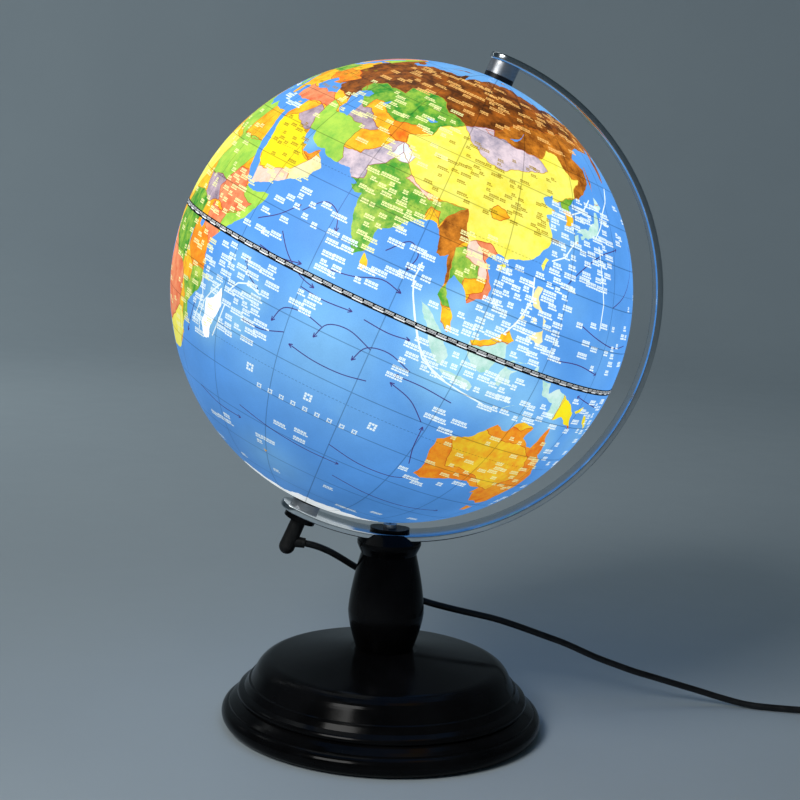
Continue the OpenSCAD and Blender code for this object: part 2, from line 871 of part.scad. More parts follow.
module plug_shell() {
    color("silver") translate(plug_at + [0, -relief_l - grip_l + shell_grip - fit, 0]) difference() {
        translate([-shell_w / 2, -shell_l, -shell_h / 2]) cube([shell_w, shell_l, shell_h]);
        translate([-shell_w / 2 + shell_wall, -shell_l - past, -shell_h / 2 + shell_wall])
            cube([shell_w - 2 * shell_wall, shell_l - shell_wall + past, shell_h - 2 * shell_wall]);
        for (x = [-2.9, 2.9]) translate([x, -shell_l + 6.2, 0]) cube([window, window, 10], center = true);
    }
}

module plug_tongue() {
    color("white") translate(plug_at + [0, -relief_l - grip_l + shell_grip - fit - shell_wall, 0])
        translate([-shell_w / 2 + shell_wall + fit, -shell_l + 1, -shell_h / 2 + shell_wall + fit])
            cube([shell_w - 2 * shell_wall - 2 * fit, shell_l - 1 - shell_wall, tongue_h]);
}

module plug_contacts() {
    color("gold") translate(plug_at + [0, -relief_l - grip_l + shell_grip - shell_l + 1.5, 0])
        for (x = [-3.5, -1, 1, 3.5])
            translate([x - plug_contact_w / 2, 0, -shell_h / 2 + shell_wall + fit + tongue_h])
                cube([plug_contact_w, 9, plug_contact_t]);
}

north_shell();
south_shell();
seam_ring();
equator_tape();
north_bush();
south_bush();
meridian_arm();
north_pin();
north_spacer();
south_spacer();
lamp_flange();
cord_elbow();
lamp_tube();
lamp_holder();
led_board();
led_chips();
led_cover();
lamp_leads();
clamp_plate();
clamp_screw();
column();
column_top_insert();
column_foot_insert();
column_bolt();
column_washer();
base_shell();
base_weight();
base_cover();
cover_screws();
base_pad();
cord_run();
cord_coil();
cord_tie();
cord_tail();
cord_end();
switch_base();
switch_cover();
switch_rocker();
switch_contacts();
plug_grip();
plug_shell();
plug_tongue();
plug_contacts();
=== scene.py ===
"""Looks of a lit desktop globe on a turned stand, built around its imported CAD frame.

Everything is in metres in the frame's axes: Z up, the arm in the XZ plane, the front facing -Y.
Map outlines are in degrees of longitude and latitude.
"""

import json
import math
import random

import bpy
import numpy
from mathutils import Matrix, Vector
from mathutils.geometry import delaunay_2d_cdt


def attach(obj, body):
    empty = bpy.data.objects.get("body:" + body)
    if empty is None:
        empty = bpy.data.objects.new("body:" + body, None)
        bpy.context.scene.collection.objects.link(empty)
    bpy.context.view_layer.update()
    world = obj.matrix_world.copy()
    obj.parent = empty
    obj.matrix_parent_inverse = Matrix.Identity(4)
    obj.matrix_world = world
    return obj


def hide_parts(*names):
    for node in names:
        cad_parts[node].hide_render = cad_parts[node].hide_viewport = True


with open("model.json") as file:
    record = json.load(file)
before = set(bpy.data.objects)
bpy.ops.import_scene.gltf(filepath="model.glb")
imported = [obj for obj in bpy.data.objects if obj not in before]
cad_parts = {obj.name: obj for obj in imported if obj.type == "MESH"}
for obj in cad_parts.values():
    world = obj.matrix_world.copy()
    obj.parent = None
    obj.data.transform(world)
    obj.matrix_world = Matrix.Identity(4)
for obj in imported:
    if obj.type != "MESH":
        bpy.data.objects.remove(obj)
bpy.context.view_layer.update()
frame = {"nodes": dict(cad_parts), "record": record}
nodes = frame["nodes"]

# ------------------------------------------------------------------ sizes

MM = 0.001
TILT = math.radians(21.5)
GLOBE_R = 125 * MM
SHELL_T = 1.6 * MM
CENTRE = Vector((0, 0, 243.44)) * MM
# The globe's own axes: its pole, and the two directions across it
NORTH = Vector((math.sin(TILT), 0, math.cos(TILT)))
EAST = Vector((math.cos(TILT), 0, -math.sin(TILT)))
BACK = Vector((0, 1, 0))
# Turns the map so that the Indian Ocean faces the front
SPIN = -181.7
# The map runs once round from here, in the mid Pacific
WEST_EDGE = -169
EAST_EDGE = WEST_EDGE + 360
POLE_EDGE = 87.5

TAPE_W = 3.1 * MM
TAPE_T = 0.22 * MM
# How far the tape reaches into the ball, so that no gap shows
TAPE_SINK = 0.1 * MM

ARM_SHIFT = 4 * MM
ARM_CENTRE = CENTRE + Vector((ARM_SHIFT, 0, 0))
ARM_RO = 137 * MM
ARM_RI = 133.2 * MM
ARM_W = 19.5 * MM
ARM_EDGE = 1.0 * MM
# How far the arm runs past the globe's axis at each end
ARM_PAST_NORTH = 9.5 * MM
ARM_PAST_SOUTH = 13.5 * MM
PIN_HOLE_R = 2.55 * MM
PIN_HEAD_R = 4.25 * MM
# Where along the globe's axis the pin's hole starts, and where it widens for the head
PIN_HOLE_FROM = 118 * MM
PIN_HEAD_FROM = 136.6 * MM
PIN_HEAD_TO = 145 * MM


# ------------------------------------------------------------------ small tools

def srgb(red, green, blue, gain=1.0):
    """A colour given in 0-255, as linear numbers."""
    def linear(value):
        value /= 255
        return value / 12.92 if value <= 0.04045 else ((value + 0.055) / 1.055) ** 2.4
    return tuple(gain * linear(v) for v in (red, green, blue))


def new_object(name, data):
    thing = bpy.data.objects.new(name, data)
    bpy.context.scene.collection.objects.link(thing)
    return thing


def mesh_object(name, points, faces):
    """A smooth-shaded mesh object."""
    mesh = bpy.data.meshes.new(name)
    mesh.from_pydata([tuple(p) for p in points], [], faces)
    mesh.validate()
    mesh.polygons.foreach_set("use_smooth", [True] * len(mesh.polygons))
    mesh.update()
    return new_object(name, mesh)


def lathe(name, profile, segments, close=False):
    """Turns (radius, z) points about Z; a point on the axis becomes one vertex."""
    points, rings = [], []
    for radius, z in profile:
        if radius < 1e-7:
            rings.append([len(points)] * segments)
            points.append((0, 0, z))
        else:
            rings.append(list(range(len(points), len(points) + segments)))
            for k in range(segments):
                angle = 2 * math.pi * k / segments
                points.append((radius * math.cos(angle), radius * math.sin(angle), z))
    pairs = list(zip(rings, rings[1:]))
    if close:
        pairs.append((rings[-1], rings[0]))
    faces = []
    for low, high in pairs:
        for k in range(segments):
            n = (k + 1) % segments
            corners = [low[k], low[n], high[n], high[k]]
            face = [c for i, c in enumerate(corners) if c != corners[i - 1]]
            if len(face) > 2:
                faces.append(face)
    return mesh_object(name, points, faces)


def smooth_line(points, parts):
    """Catmull-Rom points along a route."""
    points = [Vector(p) for p in points]
    padded = [2 * points[0] - points[1], *points, 2 * points[-1] - points[-2]]
    line = []
    for a, b, c, d in zip(padded, padded[1:], padded[2:], padded[3:]):
        for k in range(parts):
            t = k / parts
            line.append(0.5 * (2 * b + (c - a) * t + (2 * a - 5 * b + 4 * c - d) * t * t
                               + (3 * b - a - 3 * c + d) * t ** 3))
    line.append(points[-1])
    return line


# ------------------------------------------------------------------ shader tools
# A source is a (node, output) pair.

# Sockets of a Mix node that mixes colours
MIX_FACTOR, MIX_FIRST, MIX_SECOND, MIX_RESULT = 0, 6, 7, 2


def link(material, source, node, socket):
    material.node_tree.links.new(source[0].outputs[source[1]], node.inputs[socket])


def add_node(material, kind, **values):
    """A shader node; values name its properties, or its inputs where it has no such property."""
    node = material.node_tree.nodes.new(kind)
    for key, value in values.items():
        if hasattr(node, key):
            setattr(node, key, value)
        else:
            node.inputs[key].default_value = value
    return node


def math_node(material, operation, first, second=None):
    """A Math node; each side is a number or a source."""
    node = add_node(material, "ShaderNodeMath", operation=operation)
    for socket, value in enumerate((first, second)):
        if isinstance(value, tuple):
            link(material, value, node, socket)
        elif value is not None:
            node.inputs[socket].default_value = value
    return node, "Value"


def product(material, *factors):
    result = factors[0]
    for factor in factors[1:]:
        result = math_node(material, "MULTIPLY", result, factor)
    return result


def mix_colours(material, factor, first, second):
    """A colour Mix node; factor is a number or a source, and the colours are colours or sources."""
    node = add_node(material, "ShaderNodeMix", data_type="RGBA")
    for socket, value in ((MIX_FACTOR, factor), (MIX_FIRST, first), (MIX_SECOND, second)):
        if isinstance(value, tuple) and isinstance(value[0], bpy.types.Node):
            link(material, value, node, socket)
        elif socket == MIX_FACTOR:
            node.inputs[socket].default_value = value
        else:
            node.inputs[socket].default_value = (*value, 1)
    return node, MIX_RESULT


def ranged(material, source, from_low, from_high, to_low, to_high):
    """The source stretched from one range to another, and held within it."""
    node = add_node(material, "ShaderNodeMapRange")
    link(material, source, node, 0)
    for socket, value in enumerate((from_low, from_high, to_low, to_high), start=1):
        node.inputs[socket].default_value = value
    return node, 0


def noise(material, scale, detail, stretch=None, roughness=0.55):
    """Noise on the piece's own coordinates, in features per metre."""
    place = add_node(material, "ShaderNodeTexCoord"), "Object"
    texture = add_node(material, "ShaderNodeTexNoise", Scale=scale, Detail=detail, Roughness=roughness)
    if stretch:
        mapping = add_node(material, "ShaderNodeMapping", Scale=stretch)
        link(material, place, mapping, "Vector")
        place = mapping, "Vector"
    link(material, place, texture, "Vector")
    return texture, 0


def along(material, direction, origin=None):
    """How far a point of the piece lies along a direction, from the origin or from the frame's own."""
    place = add_node(material, "ShaderNodeTexCoord"), "Object"
    if origin:
        local = add_node(material, "ShaderNodeVectorMath", operation="SUBTRACT")
        link(material, place, local, 0)
        local.inputs[1].default_value = origin
        place = local, "Vector"
    dot = add_node(material, "ShaderNodeVectorMath", operation="DOT_PRODUCT")
    link(material, place, dot, 0)
    dot.inputs[1].default_value = direction
    return dot, "Value"


def bumped(material, shader, height, distance, strength=1.0):
    bump = add_node(material, "ShaderNodeBump", Strength=strength, Distance=distance)
    link(material, height, bump, "Height")
    link(material, (bump, "Normal"), shader, "Normal")


def blank_material(name):
    material = bpy.data.materials.new(name)
    material.use_nodes = True
    return material, material.node_tree.nodes["Principled BSDF"]


# ------------------------------------------------------------------ finishes

# slot: first colour, second colour, roughness low and high, metallic, noise per metre,
# stretch of the noise, bump depth in metres, coat weight, specular level
FINISHES = {
    "white_plastic": ((0.78, 0.78, 0.76), (0.70, 0.70, 0.67), 0.38, 0.5, 0, 900, None, 2e-5, 0, 0.5),
    "dark_plastic": ((0.008, 0.008, 0.009), (0.016, 0.016, 0.017), 0.3, 0.48, 0, 1400, None, 3e-5, 0, 0.25),
    "chrome_arm": ((0.66, 0.7, 0.72), (0.56, 0.6, 0.63), 0.12, 0.24, 1, 260, (1, 9, 1), 4e-6, 0, 0.5),
    "chrome": ((0.5, 0.51, 0.53), (0.4, 0.41, 0.43), 0.36, 0.48, 1, 1500, (1, 1, 6), 6e-6, 0, 0.5),
    "steel": ((0.58, 0.58, 0.59), (0.45, 0.45, 0.46), 0.24, 0.42, 1, 1200, (1, 1, 5), 8e-6, 0, 0.5),
    "black_gloss": ((0.002, 0.002, 0.0022), (0.005, 0.005, 0.0055), 0.1, 0.24, 0, 240, None, 8e-6, 0, 0.07),
    "black_rubber": ((0.005, 0.005, 0.005), (0.012, 0.012, 0.012), 0.45, 0.65, 0, 2200, None, 4e-5, 0, 0.25),
    "white_board": ((0.8, 0.82, 0.8), (0.7, 0.73, 0.7), 0.35, 0.5, 0, 800, None, 1e-5, 0, 0.5),
    "led_phosphor": ((0.9, 0.72, 0.15), (0.98, 0.82, 0.3), 0.3, 0.45, 0, 3000, None, 1e-5, 0, 0.5),
    "opal": ((0.88, 0.88, 0.85), (0.8, 0.8, 0.78), 0.3, 0.45, 0, 600, None, 1e-5, 0, 0.5),
    "red_wire": ((0.42, 0.02, 0.02), (0.55, 0.04, 0.03), 0.4, 0.55, 0, 1500, None, 1e-5, 0, 0.5),
    "brass": ((0.72, 0.52, 0.2), (0.6, 0.42, 0.16), 0.22, 0.4, 1, 1100, (1, 1, 4), 1e-5, 0, 0.5),
    "iron": ((0.09, 0.09, 0.092), (0.15, 0.14, 0.13), 0.55, 0.8, 0.6, 500, None, 1.5e-4, 0, 0.5),
    "foam": ((0.02, 0.02, 0.021), (0.05, 0.05, 0.05), 0.85, 0.98, 0, 1800, None, 2.5e-4, 0, 0.5),
    "cord_black": ((0.008, 0.008, 0.009), (0.018, 0.018, 0.019), 0.34, 0.52, 0, 1600, None, 2e-5, 0, 0.3),
    "tie": ((0.02, 0.02, 0.022), (0.06, 0.06, 0.065), 0.7, 0.9, 0, 2600, (1, 3, 1), 1e-4, 0, 0.5),
    "switch_black": ((0.012, 0.012, 0.013), (0.026, 0.026, 0.027), 0.42, 0.6, 0, 3200, None, 4e-5, 0, 0.25),
    "rocker_black": ((0.01, 0.01, 0.01), (0.02, 0.02, 0.02), 0.2, 0.32, 0, 1400, None, 8e-6, 0.3, 0.5),
}
COAT_ROUGHNESS = 0.08


def finish_material(slot):
    """A finish with mottled colour, uneven gloss and a fine relief."""
    first, second, low, high, metallic, scale, stretch, depth, coat, specular = FINISHES[slot]
    material, shader = blank_material(slot)
    shader.inputs["Metallic"].default_value = metallic
    shader.inputs["Coat Weight"].default_value = coat
    shader.inputs["Coat Roughness"].default_value = COAT_ROUGHNESS
    shader.inputs["Specular IOR Level"].default_value = specular
    broad = noise(material, scale * 0.12, 5, stretch)
    tint = mix_colours(material, ranged(material, broad, 0.35, 0.65, 0, 1), first, second)
    link(material, tint, shader, "Base Color")
    link(material, ranged(material, broad, 0.3, 0.7, low, high), shader, "Roughness")
    bumped(material, shader, noise(material, scale, 3, stretch), depth)
    return material


finishes = {slot: finish_material(slot) for slot in FINISHES}


# ------------------------------------------------------------------ camera, floor and lights

# Where the camera is, from the globe's centre
CAMERA_DISTANCE = 0.896
CAMERA_AZIMUTH = math.radians(1.3)
CAMERA_ELEVATION = math.radians(5)
# How it is turned away from the globe's centre, about its own axes
CAMERA_YAW = math.radians(-0.13)
CAMERA_PITCH = math.radians(-3.73)
CAMERA_ROLL = math.radians(-2.83)
CAMERA_LENS = 73.8

FLOOR_Z = -0.2 * MM
FLOOR_R = 1.6
WALL_BEND_R = 1.0
WALL_TOP = 2.6

# name, place, target, size, power, colour
LIGHTS = [
    ("key", (-0.6, -0.85, 0.95), (-0.05, -0.4, 0), 0.5, 0.5, 9, (1.0, 1.0, 0.98)),
    ("wall_glow", (-1.0, 0.7, 1.1), (-0.15, 2.2, 0.7), 1.0, 1.0, 7.5, (0.93, 0.99, 1.0)),
    ("top", (-0.4, 0.9, 1.9), (-0.1, 0.3, 0.1), 1.2, 0.8, 2, (0.92, 0.98, 1.0)),
]
WORLD_COLOUR = srgb(160, 190, 204)
WORLD_STRENGTH = 0.1


def add_camera():
    """The camera of the fitted view."""
    offset = Vector((math.sin(CAMERA_AZIMUTH) * math.cos(CAMERA_ELEVATION),
                     -math.cos(CAMERA_AZIMUTH) * math.cos(CAMERA_ELEVATION),
                     math.sin(CAMERA_ELEVATION)))
    forward = -offset
    right = Vector((math.cos(CAMERA_AZIMUTH), math.sin(CAMERA_AZIMUTH), 0))
    up = right.cross(forward)
    aim = Matrix.Rotation(CAMERA_YAW, 3, up) @ Matrix.Rotation(CAMERA_PITCH, 3, right)
    forward, right, up = aim @ forward, aim @ right, aim @ up
    roll = Matrix.Rotation(CAMERA_ROLL, 3, forward)
    right, up = roll @ right, roll @ up
    data = bpy.data.cameras.new("camera")
    data.lens = CAMERA_LENS
    data.clip_start = 0.01
    camera = new_object("camera", data)
    turn = Matrix((right, up, -forward)).transposed().to_4x4()
    camera.matrix_world = Matrix.Translation(CENTRE + CAMERA_DISTANCE * offset) @ turn
    bpy.context.scene.camera = camera


def add_stage():
    """A pale floor that curves up into a round wall, so that there is no horizon from any side."""
    profile = [(0, FLOOR_Z), (0.6, FLOOR_Z), (FLOOR_R, FLOOR_Z)]
    steps = 12
    for k in range(1, steps + 1):
        angle = math.pi / 2 * k / steps
        profile.append((FLOOR_R + WALL_BEND_R * math.sin(angle), WALL_BEND_R * (1 - math.cos(angle))))
    profile.append((FLOOR_R + WALL_BEND_R, WALL_TOP))
    floor = lathe("floor", profile, 96)
    material, shader = blank_material("floor_paint")
    patch = ranged(material, noise(material, 2.2, 3), 0.3, 0.7, 0, 1)
    tint = mix_colours(material, patch, srgb(178, 190, 198), srgb(184, 196, 203))
    link(material, tint, shader, "Base Color")
    link(material, ranged(material, noise(material, 30, 4), 0.3, 0.7, 0.55, 0.7), shader, "Roughness")
    floor.data.materials.append(material)


def add_light(name, place, target, width, height, power, colour):
    data = bpy.data.lights.new(name, "AREA")
    data.shape = "RECTANGLE"
    data.size = width
    data.size_y = height
    data.energy = power
    data.color = colour
    lamp = new_object(name, data)
    lamp.location = place
    lamp.rotation_euler = (Vector(target) - Vector(place)).to_track_quat("-Z", "Y").to_euler()


def add_world():
    world = bpy.data.worlds.new("world")
    world.use_nodes = True
    background = world.node_tree.nodes["Background"]
    background.inputs["Color"].default_value = (*WORLD_COLOUR, 1)
    background.inputs["Strength"].default_value = WORLD_STRENGTH
    bpy.context.scene.world = world
    bpy.context.scene.view_settings.view_transform = "Standard"


add_camera()
add_stage()
for light in LIGHTS:
    add_light(*light)
add_world()


# ------------------------------------------------------------------ cord, in millimetres

CORD_D = 3.8
# Out of the elbow, past the column and down over the base to the table and the coil
RUN_ROUTE = [
    (-47, 0, 100.8), (-41, 1.5, 99.2), (-34, 5, 95.8), (-27, 9.5, 91), (-20, 15, 85.5),
    (-11, 21, 79.2), (0, 25.5, 73.2), (10, 27.5, 68), (20, 29, 63.5), (31, 32, 60), (42, 35, 57),
    (52, 38, 54.4), (63, 41, 51.5), (73, 43.5, 48.2), (84, 46, 44.2), (95, 48, 40.2), (107, 50, 35.8),
    (124, 53, 28.2), (136, 54.5, 23.8), (149, 56, 19.4), (160, 57, 16.4), (170, 58, 13.6),
    (180, 59, 10.8), (190, 59.5, 8.2), (199, 59.5, 5.8), (207, 59, 4), (215, 58, 2.6), (224, 56.5, 2),
    (236, 55, 2), (249, 54, 2), (262, 53.6, 2.2), (274, 53.9, 2.7),
]
# From the coil to the switch, and from the switch to the plug
TAIL_ROUTE = [(311, 16.5, 9.8), (311, 9, 9), (311, 2, 7.6), (311, -5, 6.6), (311, -10, 6.5)]
END_ROUTE = [
    (311, -46, 6.5), (311, -52, 6.3), (310.5, -58, 5.6), (309, -65, 4.8), (306.5, -72, 4.4),
    (304.6, -79, 4.3), (304, -86, 4.3),
]
COIL_AT = (285, 28)
# Radius and height of each turn, and where in a turn the cord moves on to the next one
COIL_SLOTS = [(25.9, 2.8), (22, 2.8), (18.1, 2.8), (18.1, 6.6), (22, 6.6), (25.9, 6.6), (25.9, 10.4)]
COIL_MOVES = [(280, 360), (280, 360), (200, 280), (120, 200), (120, 200), (60, 120)]
COIL_STEP = 10


def coil_route():
    """Six turns and a quarter, clockwise from the back of the coil to its right side."""
    points = []
    for travel in range(0, 6 * 360 + 90 + 1, COIL_STEP):
        turn, part = divmod(travel, 360)
        radius, z = COIL_SLOTS[turn]
        if turn < len(COIL_MOVES):
            start, end = COIL_MOVES[turn]
            share = min(max((part - start) / (end - start), 0), 1)
            share = (1 - math.cos(math.pi * share)) / 2
            next_radius, next_z = COIL_SLOTS[turn + 1]
            radius += share * (next_radius - radius)
            z += share * (next_z - z)
        angle = math.radians(90 - travel)
        points.append((COIL_AT[0] + radius * math.cos(angle), COIL_AT[1] + radius * math.sin(angle), z))
    return points


def add_cord():
    route = RUN_ROUTE + coil_route() + TAIL_ROUTE + END_ROUTE
    line = smooth_line(route, 3)
    data = bpy.data.curves.new("cord", "CURVE")
    data.dimensions = "3D"
    data.bevel_depth = CORD_D / 2 * MM
    data.bevel_resolution = 5
    data.use_fill_caps = True
    spline = data.splines.new("POLY")
    spline.points.add(len(line) - 1)
    for point, place in zip(spline.points, line):
        point.co = (*(place * MM), 1)
    spline.use_smooth = True
    cord = new_object("cord", data)
    data.materials.append(finishes["cord_black"])
    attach(cord, "stand")
    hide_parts("cord_run", "cord_coil", "cord_tail", "cord_end")


add_cord()


# ------------------------------------------------------------------ arm

def stadium(inset, per_end=14, per_side=150):
    """Half of the band's outline as (length along the outer arc, y); both its ends are round."""
    reach = math.sqrt(ARM_RO ** 2 - (ARM_SHIFT * math.cos(TILT)) ** 2)
    lean = ARM_SHIFT * math.sin(TILT)

    def arc_at(distance):
        """Length along the outer arc where the globe's axis is this far from its centre."""
        spot = distance * NORTH + CENTRE - ARM_CENTRE
        return math.atan2(spot.z, spot.x) * ARM_RO
    half = ARM_W / 2
    north = arc_at(reach + lean) + ARM_PAST_NORTH - half
    south = arc_at(lean - reach) - ARM_PAST_SOUTH + half
    radius = half - inset
    turns = [math.pi / 2 * (1 - k / per_end) for k in range(per_end)]
    side = [(south + (north - south) * k / per_side, radius) for k in range(per_side + 1)]
    south_end = [(south - radius * math.sin(t), radius * math.cos(t)) for t in turns]
    north_end = [(north + radius * math.sin(t), radius * math.cos(t)) for t in reversed(turns)]
    return south_end + side + north_end


def on_arm(length, y, radius):
    angle = length / ARM_RO
    return ARM_CENTRE + Vector((radius * math.cos(angle), y, radius * math.sin(angle)))


def band_mesh():
    """The curved band, with rounded edges all round."""
    steps = 5
    turns = [math.pi / 2 * k / steps for k in range(steps + 1)]
    rings = [(ARM_EDGE * (1 - math.sin(t)), ARM_RI + ARM_EDGE * (1 - math.cos(t))) for t in turns]
    rings += [(ARM_EDGE * (1 - math.cos(t)), ARM_RO - ARM_EDGE * (1 - math.sin(t))) for t in turns]
    points, loops = [], []
    for inset, radius in rings:
        upper = stadium(inset)
        outline = upper + [(s, -y) for s, y in reversed(upper[1:-1])]
        loops.append(range(len(points), len(points) + len(outline)))
        points += [on_arm(s, y, radius) for s, y in outline]
    faces = []
    count = len(loops[0])
    for low, high in zip(loops, loops[1:]):
        for k in range(count):
            n = (k + 1) % count
            faces.append((low[k], low[n], high[n], high[k]))
    for loop, flip in ((loops[0], False), (loops[-1], True)):
        for k in range(len(upper) - 1):
            face = [loop[k], loop[-k % count], loop[-(k + 1) % count], loop[k + 1]]
            face = [c for i, c in enumerate(face) if c != face[i - 1]]
            faces.append(tuple(reversed(face)) if flip else tuple(face))
    return mesh_object("arm_band", points, faces)


def add_arm():
    """The band, cut for the pin and its head."""
    arm = band_mesh()
    cutter = lathe("cutter", [(0, PIN_HOLE_FROM), (PIN_HOLE_R, PIN_HOLE_FROM), (PIN_HOLE_R, PIN_HEAD_FROM),
                              (PIN_HEAD_R, PIN_HEAD_FROM), (PIN_HEAD_R, PIN_HEAD_TO), (0, PIN_HEAD_TO)], 48)
    cutter.matrix_world = Matrix.Translation(CENTRE) @ Matrix.Rotation(TILT, 4, "Y")
    cut = arm.modifiers.new("countersink", "BOOLEAN")
    cut.object = cutter
    cut.operation = "DIFFERENCE"
    bpy.context.view_layer.update()
    cut_mesh = bpy.data.meshes.new_from_object(arm.evaluated_get(bpy.context.evaluated_depsgraph_get()))
    arm.modifiers.clear()
    arm.data = cut_mesh
    bpy.data.objects.remove(cutter)
    arm.data.materials.clear()
    arm.data.materials.append(finishes["chrome_arm"])
    arm.data.set_sharp_from_angle(angle=math.radians(35))
    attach(arm, "stand")
    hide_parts("meridian_arm")


add_arm()


# ------------------------------------------------------------------ map: coasts

AFRICA = [
    (-6, 35.8), (-2, 35.1), (3, 36.9), (10, 37.3), (11, 33.8), (15, 32.3), (20, 30.8), (22, 32.8),
    (25, 31.6), (29, 30.9), (32.3, 31.2), (32.6, 29.9), (33.6, 27.8), (35.5, 24), (37, 20.8), (38.5, 18),
    (40, 15), (43.2, 12), (43.2, 11.4), (46, 10.8), (51.2, 11.8), (50.8, 9.4), (48, 4.5), (45, 1.8),
    (42, -1), (40.2, -2.8), (39.2, -5), (39.5, -7.5), (40.6, -10.8), (40.7, -14.5), (38, -17.2),
    (35, -20), (35.5, -23.5), (32.8, -25.8), (32.5, -28.5), (30, -31.5), (27, -33.7), (22, -34.2),
    (18.4, -34.2), (17.8, -31), (15.3, -27), (14.3, -22), (12, -17.5), (13.7, -12), (13.2, -8.6),
    (12, -5), (9, -1), (9.7, 3), (8.7, 4.5), (6, 4.3), (3, 6.4), (-2, 4.8), (-7.5, 4.4), (-12.5, 7.5),
    (-15, 11), (-17.3, 14.7), (-16.2, 19), (-17, 21.5), (-14.5, 26.2), (-11, 29.2), (-9.7, 31.5),
    (-6.8, 34),
]
EURASIA = [
    (-9, 37), (-5.6, 36.1), (-2, 36.8), (0, 39.5), (3.2, 42.3), (4.5, 43.4), (8, 44), (10.3, 43),
    (12.5, 41.3), (15.6, 40), (16, 38), (17, 39), (18.4, 40.2), (16, 41.8), (13.7, 43.6), (12.4, 45.3),
    (13.7, 45.5), (16, 43.5), (19.4, 41.5), (20.2, 39.3), (21.7, 36.8), (23.2, 36.5), (23.8, 38),
    (22.9, 40.3), (25, 40.9), (26.3, 40.2), (26.2, 38.5), (27.5, 36.7), (30.5, 36.5), (32.5, 36.1),
    (36, 36.7), (35.8, 34.5), (34.3, 31.3), (34.9, 29.5), (36.6, 26.2), (38.8, 22.5), (39.5, 20),
    (42, 17), (42.8, 15), (43.3, 12.7), (45, 12.8), (48.5, 14), (52, 15.8), (55, 17.3), (57.8, 19),
    (59.8, 22.4), (58.5, 23.7), (56.5, 25.2), (56.3, 26.3), (54, 24.2), (51.6, 24.3), (51.3, 26),
    (50.2, 25.8), (48.3, 29), (48, 30), (50.3, 30), (51.5, 27.9), (54.5, 26.6), (57, 27), (58.8, 25.6),
    (61.6, 25.2), (66.5, 25.4), (68, 23.6), (70.3, 22.8), (69, 22.2), (71, 20.8), (72.7, 21.3),
    (72.8, 19), (73.5, 16), (74.8, 13), (76.3, 9.8), (77.5, 8.1), (78.2, 8.9), (79.9, 10.3), (80.2, 13.3),
    (80.2, 15.5), (82.3, 16.6), (85, 19.4), (87, 21), (88.2, 21.6), (90.5, 22.4), (91.9, 22.2),
    (93.7, 19.7), (94.4, 16.2), (95.5, 15.8), (97.2, 16.9), (98, 14), (98.7, 11), (98.3, 8), (100.3, 5.8),
    (101.3, 2.9), (103.5, 1.3), (104.2, 2), (103.4, 4.5), (102.2, 6.3), (100.3, 8.3), (99.3, 10.5),
    (100, 13.3), (101, 12.7), (102.6, 12), (104, 10.5), (105, 8.7), (106.7, 10.4), (109, 11.5),
    (109.2, 13.8), (107.5, 16.5), (105.7, 19), (106.8, 20.7), (108.2, 21.6), (109.9, 21.4), (110.3, 20.4),
    (111.5, 21.6), (114.2, 22.4), (116.8, 23.3), (119.3, 25.8), (121.6, 28.3), (121.9, 30.9), (120.5, 33),
    (119.3, 35), (122.3, 37), (119, 37.5), (117.8, 38.9), (121.2, 40.7), (121.5, 39), (124.3, 39.9),
    (125.2, 37.8), (126.6, 36.8), (126.4, 34.5), (129, 35.2), (129.5, 37), (127.6, 39.6), (130.6, 42.4),
    (133, 42.8), (136, 44.8), (140.3, 48.5), (141, 52.7), (137.5, 54), (135.5, 54.8), (142, 59.2),
    (149, 59.5), (155, 59.4), (160, 61.7), (163, 61), (157, 57.5), (156, 52.5), (157, 51.2), (160, 53.5),
    (163, 56.5), (164, 59.8), (170.5, 60.2), (177.5, 62.5), (179, 64.5), (187, 64.6), (190, 66.1),
    (182, 68), (176, 69.8), (165, 69.6), (158, 71), (150, 71.6), (140, 72.6), (130, 71.5), (128, 73.2),
    (113, 74), (108, 77), (100, 76.5), (90, 75.5), (82, 73.5), (80.5, 72.2), (74.5, 71.5), (72, 68),
    (69, 72.8), (67, 71.5), (67, 69.5), (60, 69.2), (54, 68.4), (46, 68), (44, 66.5), (41, 64.7),
    (37, 65), (34.5, 66.8), (41, 67), (38, 68.3), (30, 69.8), (25, 71), (19, 70), (13.5, 66.8),
    (9.5, 63.6), (5, 61.5), (5.7, 59), (8, 58.1), (11, 59.2), (12.5, 56.3), (14.3, 55.5), (16.5, 57),
    (18.9, 60), (17.3, 61.5), (22.5, 65.8), (25.3, 65), (21.4, 61.5), (23, 59.9), (28, 60.5), (30, 59.9),
    (24, 59.3), (23.5, 58.5), (24.3, 57.2), (21.2, 56.8), (21, 55.2), (18.6, 54.6), (14, 54),
    (10.8, 54.2), (10.5, 57.5), (8.2, 56.5), (8.8, 53.9), (5, 53.2), (3.5, 51.5), (1.6, 50.5),
    (-1.5, 49.3), (-4.6, 48.4), (-2, 47.1), (-1.4, 43.8), (-8, 43.6), (-9, 41.5), (-9.4, 38.8),
]
